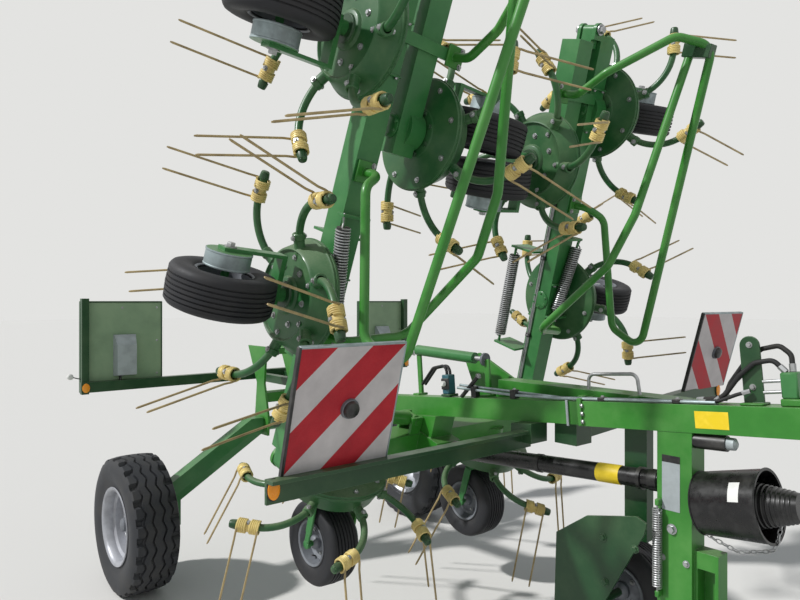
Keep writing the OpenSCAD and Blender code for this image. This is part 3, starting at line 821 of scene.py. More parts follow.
@dataclass(frozen=True)
class Gang:
    """Where the sections of the folded rotor gang stand."""

    line_y: float = 0.7805
    lean: float = 17.3
    height: float = 0.464
    spacing: float = 1.055
    hinge_x: float = 0.822
    hinge_u: float = 0.480
    outer_x: float = 3.022
    outer_u: float = 0.565
    fold: float = 94.5
    beam_up: float = 0.480
    beam_half: float = 0.055

    @property
    def beam_top(self) -> float:
        """Height of the top of a section's beam over the wheels' ground line."""
        return self.beam_up + self.beam_half

    def centre(self, side: Side) -> Matrix:
        """Place of the centre section, seen from one side."""
        mirror = Matrix.Diagonal((side.value, 1, 1, 1))
        return Matrix.Translation((0, self.line_y, self.height)) @ rotation(self.lean, "X") @ mirror

    @staticmethod
    def turned(x: float, u: float, angle: float) -> Matrix:
        """Turn about a hinge line that runs fore and aft at x and u."""
        turn = rotation(-angle, "Y")
        return Matrix.Translation((x, 0, u)) @ turn @ Matrix.Translation((-x, 0, -u))

    def wing(self, side: Side) -> Matrix:
        """Place of a folded wing."""
        return self.centre(side) @ self.turned(self.hinge_x, self.hinge_u, self.fold)

    def outer(self, side: Side) -> Matrix:
        """Place of a folded outer section."""
        return self.wing(side) @ self.turned(self.outer_x, self.outer_u, 180)

    def rotor_x(self, number: int) -> float:
        """Distance of a rotor from the middle of the unfolded gang."""
        return (number - 0.5) * self.spacing

    def section(self, side: Side, number: int) -> Matrix:
        """Place of the section that carries a rotor."""
        if number == 1:
            return self.centre(side)
        return self.outer(side) if number == 4 else self.wing(side)

    def rotor(self, side: Side, number: int) -> Matrix:
        """Place of a rotor's axis."""
        return self.section(side, number) @ Matrix.Translation((self.rotor_x(number), 0, 0))

    def carrier(self, side: Side, number: int) -> str:
        """Body that carries a rotor's gearbox."""
        if number == 1:
            return "chassis"
        return ("outer_" if number == 4 else "wing_") + side.word


GANG = Gang()
ROTORS = [(side, number) for side in Side for number in (1, 2, 3, 4)]


@dataclass
class Rotor:
    """A tined rotor: dished pan, arms, sockets, wound springs and tines."""

    side: Side
    number: int
    pan_r: float = 0.240
    pan_top: float = 0.400
    pan_bottom: float = 0.275
    pan_dish: float = 0.012
    cover_r: float = 0.110
    arm_r: float = 0.016
    arm_bend: float = 0.230
    arm_turn: float = 75.0
    droop: float = 20.0
    socket_from: float = 0.150
    socket_len: float = 0.115
    tine_len: float = 0.395
    tine_lean: float = 22.0
    tine_r: float = 0.0048
    rim_bolts: float = 0.205
    cover_bolts: float = 0.095
    under_bolts: float = 0.122
    coil_r: float = 0.0275
    wire_r: float = 0.0052

    @property
    def phase(self) -> float:
        """Turn of the first arm, in degrees."""
        return 30.0 if (self.number + (1 if self.side is Side.RIGHT else 0)) % 2 == 0 else 0.0

    def place(self) -> Matrix:
        """Place of the rotor with its own sense of rotation."""
        flip = Matrix.Diagonal((1, -1, 1, 1)) if self.number % 2 == 0 else Matrix()
        return GANG.rotor(self.side, self.number) @ flip

    def pan(self, shape: Shape, place: Matrix) -> None:
        """Build the closed pan, dished below and coned above, with its bolts and hub.

        Args:
            shape: Where the faces go.
            place: Place of the rotor.
        """
        low, top, r = self.pan_bottom, self.pan_top, self.pan_r
        high = top - low
        profile = [(0.030, low), (0.070, low), (0.0735, low + 0.002), (0.080, low + self.pan_dish),
                   (r - 0.062, low + self.pan_dish), (r - 0.057, low + 0.003), (r - 0.053, low),
                   (r - 0.042, low + 0.006), (r - 0.009, low + 0.6 * high),
                   (r - 0.001, low + 0.64 * high), (r, low + 0.68 * high), (r, low + 0.80 * high),
                   (r - 0.002, low + 0.84 * high), (r - 0.009, low + 0.86 * high),
                   (self.cover_r + 0.004, top - 0.006), (self.cover_r, top - 0.003),
                   (self.cover_r - 0.004, top), (0.030, top)]
        shape.lathe(profile, FINISH.rotors, place, 72)
        # seam flange between the upper and lower shells, and the hub below
        seam = low + 0.74 * high
        shape.lathe([(r - 0.004, seam - 0.003), (r + 0.004, seam - 0.003), (r + 0.005, seam),
                     (r + 0.004, seam + 0.003), (r - 0.004, seam + 0.003)], FINISH.rotors, place, 72)
        shape.lathe([(0.030, low - 0.010), (0.054, low - 0.010), (0.058, low - 0.005),
                     (0.058, low + 0.001), (0.030, low + 0.001)], FINISH.dark_green, place, 40)
        slope = (high * 0.14 - 0.004) / (r - 0.009 - self.cover_r)
        lid = top - 0.004 - slope * (self.rim_bolts - self.cover_r)
        shape.bolt_ring(8, self.rim_bolts, lid, FINISH.steel, 0.016, place, self.phase + 22.5)
        shape.bolt_ring(8, self.cover_bolts, top, FINISH.dark_green, 0.015, place, self.phase + 22.5)
        shape.bolt_ring(6, self.under_bolts, low + self.pan_dish, FINISH.steel, 0.017, place,
                        self.phase + 30, -1)

    def arm(self, shape: Shape, place: Matrix) -> None:
        """Build one arm with its socket, springs and tines.

        Args:
            shape: Where the faces go.
            place: Place of the arm, with X pointing out along it.
        """
        socket_u = self.pan_bottom + 0.040
        seat = place @ Matrix.Translation((self.socket_from, 0, socket_u)) @ rotation(self.droop, "Y")
        arc_from = self.socket_len / 2
        turn = math.radians(self.arm_turn)
        path = [Vector((0.01, 0, 0))]
        steps = 14
        for k in range(steps + 1):
            a = turn * k / steps
            reach, sweep = self.arm_bend * math.sin(a), self.arm_bend * (1 - math.cos(a))
            path.append(Vector((arc_from + reach, sweep, 0)))
        end = path[-1]
        ahead = Vector((math.cos(turn), math.sin(turn), 0))
        path.append(end + ahead * 0.105)
        shape.tube(path, self.arm_r, FINISH.rotors, seat, 14)
        # socket with its clamp rings and bolts
        along_x = rotation(90, "Y")
        shape.lathe([(self.arm_r, 0.0), (0.024, 0.0), (0.026, 0.004), (0.026, 0.028), (0.0225, 0.034),
                     (0.0225, 0.086), (0.026, 0.090), (0.026, self.socket_len - 0.003),
                     (0.023, self.socket_len), (self.arm_r, self.socket_len)], FINISH.rotors,
                    seat @ along_x, 20)
        for x in (0.018, 0.098):
            shape.bolt((x, 0, 0.025), (0, 0, 1), FINISH.steel, 0.015, seat)
            shape.bolt((x, 0, -0.025), (0, 0, -1), FINISH.steel, 0.015, seat)
        # springs, clamp and end cap, along the end of the arm
        tail = seat @ Matrix.Translation(end) @ Matrix.Rotation(turn, 4, "Z")
        for start in (-0.028, 0.030):
            ends = (start, 0, 0), (start + 0.038, 0, 0)
            shape.coil(*ends, self.coil_r, self.wire_r, 4.5, FINISH.springs, tail)
        ring = tail @ along_x
        shape.lathe([(self.arm_r, 0.009), (0.0235, 0.009), (0.0245, 0.012), (0.0245, 0.028),
                     (0.0235, 0.031), (self.arm_r, 0.031)], FINISH.springs, ring, 20)
        shape.bolt((0.020, 0, -0.023), (0, 0, -1), FINISH.steel, 0.015, tail)
        shape.bolt((0.020, 0, 0.023), (0, 0, 1), FINISH.steel, 0.013, tail)
        shape.lathe([(0.0, 0.106), (0.012, 0.106), (0.0175, 0.102), (0.019, 0.096), (0.021, 0.080),
                     (0.021, 0.074), (0.0, 0.074)], FINISH.dark_green, ring, 20)
        # tines, in the rotor's own upright frame
        tip = seat @ Vector(end)
        tilt = math.radians(self.droop)
        along = Vector((math.cos(turn) * math.cos(tilt), math.sin(turn), -math.cos(turn) * math.sin(tilt)))
        flat = Vector((math.sin(turn), -math.cos(turn), 0)).normalized()
        lean = math.radians(self.tine_lean)
        down = math.sin(lean) * flat - Vector((0, 0, math.cos(lean)))
        local_tip = place.inverted() @ tip
        for k in (-0.026, 0.066):
            root = local_tip + along * k
            bends = ((0.027, -0.004), (0.027, 0.015), (0.020, 0.05), (0.0, self.tine_len - 0.01),
                     (0.0, self.tine_len))
            path = [root + flat * out + down * run for out, run in bends]
            shape.tube(path, [self.tine_r] * 4 + [self.tine_r * 0.6], FINISH.tines, place, 8)

    def build(self) -> None:
        """Build the rotor and let it stand for its node."""
        shape = Shape()
        place = self.place()
        self.pan(shape, place)
        for k in range(6):
            turn = rotation(self.phase + 60 * k, "Z")
            self.arm(shape, place @ turn)
        name = f"rotor_{self.side.letter}{self.number}"
        ride(shape.build("tined_" + name), name, "paint_green", name)


@dataclass
class RibbedWheel:
    """A small wheel with a ribbed tyre, a dished rim and a domed hub."""

    radius: float = 0.205
    width: float = 0.160
    rim_r: float = 0.105
    hub_r: float = 0.034

    def tyre_profile(self) -> list[tuple[float, float]]:
        """Profile of the tyre as radius and place along the axle.

        Returns:
            Points from one bead over the tread to the other.
        """
        r, h, rim = self.radius, self.width / 2, self.rim_r
        side = [(rim - 0.004, h * 0.80), (rim + 0.006, h * 0.86), (rim + 0.012, h * 0.84),
                (rim + 0.020, h * 0.92), (r * 0.72, h * 0.99), (r * 0.80, h), (r * 0.88, h * 0.985),
                (r * 0.935, h * 0.93), (r * 0.965, h * 0.84)]
        tread = []
        ribs, edge = 7, 0.78
        for k in range(ribs):
            left = edge - 2 * edge * k / ribs
            right = edge - 2 * edge * (k + 1) / ribs
            crown = r * (1 - 0.018 * abs(left + right) / 2)
            tread += [(crown, h * (left - 0.02)), (crown, h * (right + 0.06)),
                      (crown - 0.006, h * (right + 0.05)), (crown - 0.006, h * (right - 0.01))]
        tread = tread[:-2]
        other = [(a, -b) for a, b in reversed(side)]
        return side + tread + other

    def build(self, shape: Shape, place: Matrix) -> None:
        """Build tyre, rim and hub about the local Z axis, with the open side towards +Z.

        Args:
            shape: Where the faces go.
            place: Place of the axle, with its Z along the axle.
        """
        h, rim = self.width / 2, self.rim_r
        profile = self.tyre_profile()
        shape.lathe(profile[::-1], FINISH.tyre, place, 96)
        shape.lathe([(rim - 0.002, h * 0.82), (rim + 0.006, h * 0.88), (rim + 0.003, h * 0.92),
                     (rim - 0.006, h * 0.86), (rim - 0.014, h * 0.55), (rim - 0.020, h * 0.30),
                     (0.070, h * 0.20), (0.052, h * 0.34), (self.hub_r, h * 0.40), (self.hub_r, h * 0.62),
                     (self.hub_r - 0.006, h * 0.72), (0.016, h * 0.80), (0.016, -h * 0.5),
                     (self.hub_r, -h * 0.5), (self.hub_r, h * 0.1), (0.070, h * 0.10),
                     (rim - 0.016, h * 0.14), (rim - 0.008, -h * 0.5), (rim - 0.002, -h * 0.84),
                     (rim + 0.006, -h * 0.88), (rim - 0.002, -h * 0.80)], FINISH.rim_grey, place, 56)
        shape.lathe([(0.0, h * 0.80), (0.016, h * 0.79), (0.021, h * 0.72), (0.022, h * 0.60)],
                    FINISH.steel, place, 24, False)
        shape.bolt_ring(4, 0.056, h * 0.33, FINISH.steel, 0.014, place, 45)
        shape.tube([(rim - 0.024, 0, h * 0.35), (rim - 0.034, 0, h * 0.62)], 0.004, FINISH.black, place, 8)


@dataclass
class GangWheels:
    """The eight rotor wheels and the small front wheel."""

    offsets: tuple[float, ...] = (0.0, 0.0, 0.0, 0.1)
    arms: dict[Side, tuple[int, ...]] = field(default_factory=lambda: {Side.RIGHT: (-1, 1, -1, -1),
                                                                       Side.LEFT: (1, -1, 1, 1)})
    front: tuple[float, float, float] = (0.100, 0.7805 - 1.268, 0.470)

    def build(self) -> None:
        """Build every small wheel."""
        wheel = RibbedWheel()
        for side, number in ROTORS:
            arm = self.arms[side][number - 1]
            place = GANG.rotor(side, number) @ Matrix.Translation((arm * self.offsets[number - 1], 0, 0))
            # the open side of the rim looks away from the wheel's arm
            axle = place @ rotation(-90 * arm, "Y")
            shape = Shape()
            wheel.build(shape, axle)
            name = f"rotor_wheel_{side.letter}{number}"
            ride(shape.build("ribbed_" + name), name, "tyre", name)
        shape = Shape()
        RibbedWheel(0.200, 0.150).build(shape, Matrix.Translation(self.front) @ rotation(-90, "Y"))
        ride(shape.build("ribbed_front_wheel"), "front_wheel", "tyre", "front_wheel")


@dataclass
class TransportWheel:
    """A road wheel with a zigzag ribbed tread and a silver dished rim."""

    side: Side
    radius: float = 0.380
    width: float = 0.255
    rim_r: float = 0.205
    track: float = 1.050
    back: float = 1.120

    def tyre(self, shape: Shape, place: Matrix) -> None:
        """Build the tyre with zigzag grooves.

        Args:
            shape: Where the faces go.
            place: Place of the axle, with its Z along the axle.
        """
        r, h, rim = self.radius, self.width / 2, self.rim_r
        side = [(rim - 0.006, 0.80), (rim + 0.010, 0.86), (rim + 0.022, 0.85), (rim + 0.05, 0.95),
                (r * 0.78, 1.0), (r * 0.86, 0.995), (r * 0.915, 0.95), (r * 0.95, 0.90)]
        edges = [0.86, 0.62, 0.52, 0.26, 0.16, -0.16, -0.26, -0.52, -0.62, -0.86]
        groove = 0.014
        sides = 144
        rows: list[list[tuple[float, float, float]]] = []
        zig = (1.0, 0.4, -0.4, -1.0, -0.4, 0.4)
        for k in range(sides):
            turn = 2 * math.pi * k / sides
            swing = zig[k % 6] * 0.07
            ring = [(a, b * h) for a, b in side]
            shoulder = -0.020 if k % 6 in (0, 1) else 0.0
            for i, edge in enumerate(edges):
                crown = r * (1 - 0.03 * edge * edge)
                wave = swing if 0 < i < len(edges) - 1 else 0.0
                if i in (0, len(edges) - 1):
                    ring.append((crown + shoulder, edge * h))
                elif i % 2 == 1:
                    ring.append((crown + (shoulder if i in (1, 8) else 0.0), (edge + wave) * h))
                    ring.append((crown - groove, (edge + wave - 0.015) * h))
                else:
                    ring.append((crown - groove, (edge + wave + 0.015) * h))
                    ring.append((crown + (shoulder if i in (1, 8) else 0.0), (edge + wave) * h))
            ring += [(a, -b * h) for a, b in reversed(side)]
            rows.append([(a * math.cos(turn), a * math.sin(turn), b) for a, b in ring])
        shape.rings(rows, FINISH.road_tyre, place, False, False, True)

    def rim(self, shape: Shape, place: Matrix) -> None:
        """Build the rim with its disc, hub and bolts.

        Args:
            shape: Where the faces go.
            place: Place of the axle, with its Z towards the outside.
        """
        h, rim = self.width / 2, self.rim_r
        shape.lathe([(rim - 0.006, h * 0.82), (rim + 0.012, h * 0.88), (rim + 0.010, h * 0.92),
                     (rim - 0.002, h * 0.90), (rim - 0.014, h * 0.80), (rim - 0.018, h * 0.50),
                     (rim - 0.034, h * 0.42), (rim - 0.040, h * 0.10), (0.150, h * 0.02),
                     (0.118, h * 0.10), (0.085, h * 0.26), (0.058, h * 0.28), (0.055, h * 0.30),
                     (0.055, h * 0.10), (0.085, h * 0.20), (0.118, h * 0.04), (0.150, -h * 0.04),
                     (rim - 0.030, h * 0.0), (rim - 0.024, -h * 0.6), (rim + 0.012, -h * 0.86),
                     (rim - 0.006, -h * 0.80)], FINISH.rim, place, 72)
        shape.lathe([(0.0, h * 0.62), (0.020, h * 0.61), (0.034, h * 0.56), (0.038, h * 0.48),
                     (0.040, h * 0.30), (0.052, h * 0.26), (0.052, -h * 0.4), (0.0, -h * 0.4)],
                    FINISH.rim_grey, place, 36)
        shape.bolt_ring(5, 0.072, h * 0.27, FINISH.steel, 0.021, place, math.degrees(0.3))
        stud, stud_circle = [(0.0, 0.001), (0.012, 0.001), (0.014, 0.0), (0.0, -0.002)], 0.135
        for k in range(8):
            turn = 2 * math.pi * k / 8
            at = (stud_circle * math.cos(turn), stud_circle * math.sin(turn), h * 0.065)
            shape.lathe(stud, FINISH.rim_grey, place @ Matrix.Translation(at), 16)

    def build(self) -> None:
        """Build the wheel and let it stand for its node."""
        shape = Shape()
        at = Matrix.Translation((self.side.value * self.track, GANG.line_y + self.back, self.radius))
        place = at @ rotation(90 * self.side.value, "Y")
        self.tyre(shape, place)
        self.rim(shape, place)
        name = "transport_wheel_" + self.side.word
        ride(shape.build("road_" + name), name, "tyre", name)


@dataclass
class GuardHoops:
    """The bent guard tubes ahead of a wing's rotors, with their clamps."""

    side: Side
    radius: float = 0.019
    beam_f: float = -0.055
    post_u: float = 0.780

    def build(self) -> None:
        """Build the hoops and let them stand for their node."""
        place = GANG.wing(self.side)
        front = [(2.138, self.beam_f, 0.480), (2.138, -0.150, 0.480), (2.089, -0.200, 0.392),
                 (1.539, -0.402, 0.405), (1.500, -0.606, 0.440), (2.965, -0.636, 0.518),
                 (2.985, -0.520, 0.640), (2.800, -0.290, 0.770), (2.690, -0.160, self.post_u),
                 (2.690, self.beam_f - 0.012, self.post_u)]
        back = [(2.940, -0.542, 0.524), (2.189, -0.569, 0.716), (1.934, -0.519, 0.760),
                (1.507, -0.220, 0.780), (1.440, -0.150, 0.500), (1.440, self.beam_f, 0.500)]
        shape = Shape()
        for path in (front, back):
            shape.tube(bent(path, 0.07), self.radius, FINISH.green, place, 16)
        along = (Vector(front[5]) - Vector(front[4])).normalized()
        joint = Vector(back[0])
        shape.block(joint - Vector((0.030, 0.105, 0.026)), joint + Vector((0.030, 0.026, 0.030)),
                    FINISH.dark_green, place)
        shape.tube([joint + along * 0.012, joint + along * 0.060], 0.023, FINISH.black, place, 16)
        for point in (front[0], back[-1], front[-1]):
            seat = Vector(point)
            shape.block(seat - Vector((0.045, 0.012, 0.045)), seat + Vector((0.045, 0.0, 0.045)),
                        FINISH.green, place)
            for dx in (-0.032, 0.032):
                shape.bolt(seat + Vector((dx, -0.012, 0.030)), (0, -1, 0), FINISH.steel, 0.015, place)
        name = "guard_" + self.side.word
        ride(shape.build("hoops_" + name), "wing_" + self.side.word, "paint_green", name)


@dataclass(frozen=True)
class BoardPlace:
    """Where a front board and its arm's reflector stand, from the rotor line."""

    middle: Point
    turn: float
    lamp_x: float
    reflector: Point
    finish: Finish


BOARD_PLACES = {
    Side.RIGHT: BoardPlace((-1.072, -0.944, 1.289), 0, 0.010, (-1.317, -0.8992, 1.050), FINISH.near_board),
    Side.LEFT: BoardPlace((1.250, -1.097, 1.366), -2, 0.016, (1.412, -1.0482, 1.139), FINISH.far_board)}


@dataclass
class FrontBoard:
    """A striped warning board with its lamp, trim and reflector, on the front of its arm."""

    side: Side
    half: float = 0.2115
    lean: float = 15.0

    def build(self) -> None:
        """Build the board's sheet and fittings."""
        seat = BOARD_PLACES[self.side]
        stand = Matrix.Translation(Vector(seat.middle) + Vector((0, GANG.line_y, 0)))
        turned = rotation(seat.turn, "Z")
        place = stand @ turned @ rotation(self.lean, "X")
        h = self.half
        sheet = Shape()
        sheet.block((-h, -0.0075, -h), (h, -0.0052, h), seat.finish, bevel=0.0008)
        board = sheet.build(f"striped_sheet_{self.side.word}")
        board.matrix_world = place
        ride(board, "chassis", "board")
        trim = Shape()
        trim.block((-h - 0.006, -0.010, -h - 0.004), (-h + 0.005, 0.008, h + 0.004), FINISH.black, place,
                   0.002)
        trim.block((-h, -0.009, h - 0.002), (h + 0.003, 0.008, h + 0.006), FINISH.galvanised, place, 0.0015)
        trim.block((h - 0.003, -0.009, -h), (h + 0.004, 0.008, h), FINISH.galvanised, place, 0.0015)
        out = place @ rotation(90, "X") @ Matrix.Translation((seat.lamp_x, -0.005, 0.0))
        glass = [(0.0, 0.036), (0.016, 0.035), (0.026, 0.031), (0.030, 0.024), (0.030, 0.006), (0.0, 0.006)]
        trim.lathe(glass, FINISH.lamp, out, 32)
        ring = [(0.030, 0.018), (0.034, 0.017), (0.035, 0.007), (0.030, 0.006)]
        trim.lathe(ring, FINISH.rim_grey, out, 32)
        for x, z in product((-h + 0.03, h - 0.03), repeat=2):
            trim.bolt((x, 0.006, z), (0, 1, 0), FINISH.steel, 0.012, place)
        ride(trim.build(f"board_trim_{self.side.word}"), "chassis", "black_plastic")
        self.reflector(Vector(seat.reflector) + Vector((0, GANG.line_y, 0)))

    def reflector(self, tip: Vector) -> None:
        """Build the oval reflector on the front of the board's arm.

        Args:
            tip: Middle of the reflector.
        """
        shape = Shape()
        oval = Matrix.Translation(tip) @ rotation(90, "X") @ Matrix.Diagonal((0.75, 1.15, 1.0, 1.0))
        dome = [(0.0, 0.010), (0.022, 0.0095), (0.028, 0.007), (0.029, 0.0)]
        shape.lathe(dome, FINISH.amber, oval, 36, False)
        shape.lathe([(0.029, 0.004), (0.032, 0.003), (0.032, 0.0), (0.029, 0.0)], FINISH.black, oval, 36)
        ride(shape.build(f"arm_reflector_{self.side.word}"), "chassis", "black_plastic")


@dataclass
class WheelCans:
    """Galvanised rings round the bearing cans of the wheel arms, with their green faces and bolts."""

    radius: float = 0.085
    length: float = 0.062
    gap: float = 0.008
    wheel_half: float = 0.080

    def fork_leg(self, shape: Shape, place: Matrix) -> None:
        """Build the slim second leg that holds the open end of a centre wheel's axle.

        Args:
            shape: Where the faces go.
            place: Place of the wheel, with X towards its can.
        """
        out = -(self.wheel_half + self.gap)
        crown = 0.235
        shape.block((out - 0.012, -0.022, crown - 0.022), (-0.034, 0.022, crown), FINISH.booms, place)
        shape.block((out - 0.012, -0.022, 0.060), (out, 0.022, crown - 0.010), FINISH.booms, place)
        shape.block((out - 0.012, -0.017, -0.010), (out, 0.017, 0.064), FINISH.booms, place)
        hub = place @ Matrix.Translation((out, 0, 0)) @ rotation(-90, "Y")
        shape.lathe([(0.0, 0.014), (0.016, 0.014), (0.022, 0.010), (0.022, -0.006), (0.014, -0.008),
                     (0.014, -0.050), (0.0, -0.050)], FINISH.booms, hub, 28)

    def build(self) -> None:
        """Build one ring for each rotor wheel."""
        wheels = GangWheels()
        for side, number in ROTORS:
            arm = wheels.arms[side][number - 1]
            leg = wheels.offsets[number - 1] + self.wheel_half + self.length + self.gap
            flip = Matrix.Diagonal((arm, 1, 1, 1))
            place = GANG.rotor(side, number) @ flip @ rotation(90, "Y")
            r, far, near = self.radius, leg, leg - self.length
            shape = Shape()
            ring = [(r + 0.0002, near + 0.001), (r - 0.004, near - 0.0012), (r + 0.001, near - 0.0022),
                    (r + 0.0035, near), (r + 0.0035, near + 0.004), (r + 0.0018, near + 0.006),
                    (r + 0.0018, far - 0.008), (r + 0.0035, far - 0.006), (r + 0.0035, far - 0.001),
                    (r + 0.0002, far - 0.0005)]
            disc = [(0.030, near - 0.0022), (r - 0.005, near - 0.0022), (r - 0.005, near - 0.0002),
                    (0.030, near - 0.0002)]
            for profile in (ring, disc):
                shape.lathe(profile, FINISH.galvanised, place, 64)
            shape.bolt_ring(4, 0.058, near - 0.0022, FINISH.steel, 0.013, place, 45, -1)
            shape.bolt((0, 0, leg + 0.014), (0, 0, 1), FINISH.steel, 0.030, place)
            if number == 1:
                self.fork_leg(shape, GANG.rotor(side, number) @ flip)
            name = f"can_ring_{side.letter}{number}"
            ride(shape.build(name), GANG.carrier(side, number), "steel")


@dataclass
class WingFittings:
    """Wound springs, oil pipes, gearbox lids and flanges of one wing."""

    side: Side
    springs: tuple[tuple[Point, Point], ...] = (((1.500, -0.086, 0.495), (1.953, -0.086, 0.411)),
                                                ((1.270, 0.190, 0.600), (1.850, 0.190, 0.600)))
    shape: Shape = field(default_factory=Shape)

    @property
    def place(self) -> Matrix:
        """Place of the wing."""
        return GANG.wing(self.side)

    def wound_springs(self) -> None:
        """Wind the springs round a near-black tube of painted shade that darkens their insides, each with a
        hook at either end.
        """
        for start, end in self.springs:
            a, b = Vector(start), Vector(end)
            along = (b - a).normalized()
            hook, pitch = 0.050, 0.0118
            first, last = a + along * hook, b - along * hook
            # painted shade: a near-black tube inside each spring stands in for the shade within the coil
            shade_core = [first - along * 0.002, last + along * 0.002]
            self.shape.tube(shade_core, 0.0274, FINISH.shadow, self.place, 20)
            turns = ((b - a).length - 2 * hook) / pitch
            self.shape.coil(first, last, 0.0290, 0.0037, turns, FINISH.steel, self.place, 14, 6)
            for point, sign in ((a, 1), (b, -1)):
                out = along * sign
                side_way = out.orthogonal().normalized()
                bends = ((0.052, 0.020), (0.040, 0.016), (0.030, 0.004), (0.004, 0.008))
                path = [point + out * run + side_way * aside for run, aside in bends]
                self.shape.tube([*path, point - out * 0.008], 0.0036, FINISH.steel, self.place, 8)

    def gearbox_lids(self) -> None:
        """Put a bolted lid on each gearbox of the wing, and bolted flanges beside it."""
        half, middle = GANG.beam_half, GANG.beam_up
        for number in (2, 3):
            x = GANG.rotor_x(number)
            lid = self.place @ Matrix.Translation((x, 0, GANG.beam_top))
            self.shape.gearbox_lid(FINISH.booms, lid, 0.020)
            for s, dx in product((-1, 1), (-0.105, 0.105)):
                near, far = sorted((s * half, s * (half + 0.014)))
                self.shape.block((x + dx - 0.004, near, middle - half),
                                 (x + dx + 0.004, far, middle + half), FINISH.booms, self.place, 0.002)
                for dz in (-0.035, 0.035):
                    seat = (x + dx - 0.004, s * (half + 0.007), middle + dz)
                    self.shape.bolt(seat, (-1, 0, 0), FINISH.steel, 0.013, self.place)

    def pipes(self) -> None:
        """Lay the wing's oil pipes along the beam, held by clips."""
        up = GANG.beam_top
        for dy in (0.026, 0.038):
            path = [(x, dy, up + 0.006) for x in (0.90, 1.40, 2.40, 2.90)]
            self.shape.tube(path, 0.0052, FINISH.steel, self.place, 8)
        for x in (1.05, 1.36, 1.82, 2.12, 2.40, 2.84):
            self.shape.block((x - 0.012, 0.016, up), (x + 0.012, 0.048, up + 0.014), FINISH.black,
                             self.place, 0.002)
            self.shape.bolt((x, 0.032, up + 0.014), (0, 0, 1), FINISH.steel, 0.009, self.place)

    def build(self) -> None:
        """Build the wing's fittings."""
        self.wound_springs()
        self.gearbox_lids()
        self.pipes()
        ride(self.shape.build("fittings_wing_" + self.side.word), "wing_" + self.side.word, "steel")


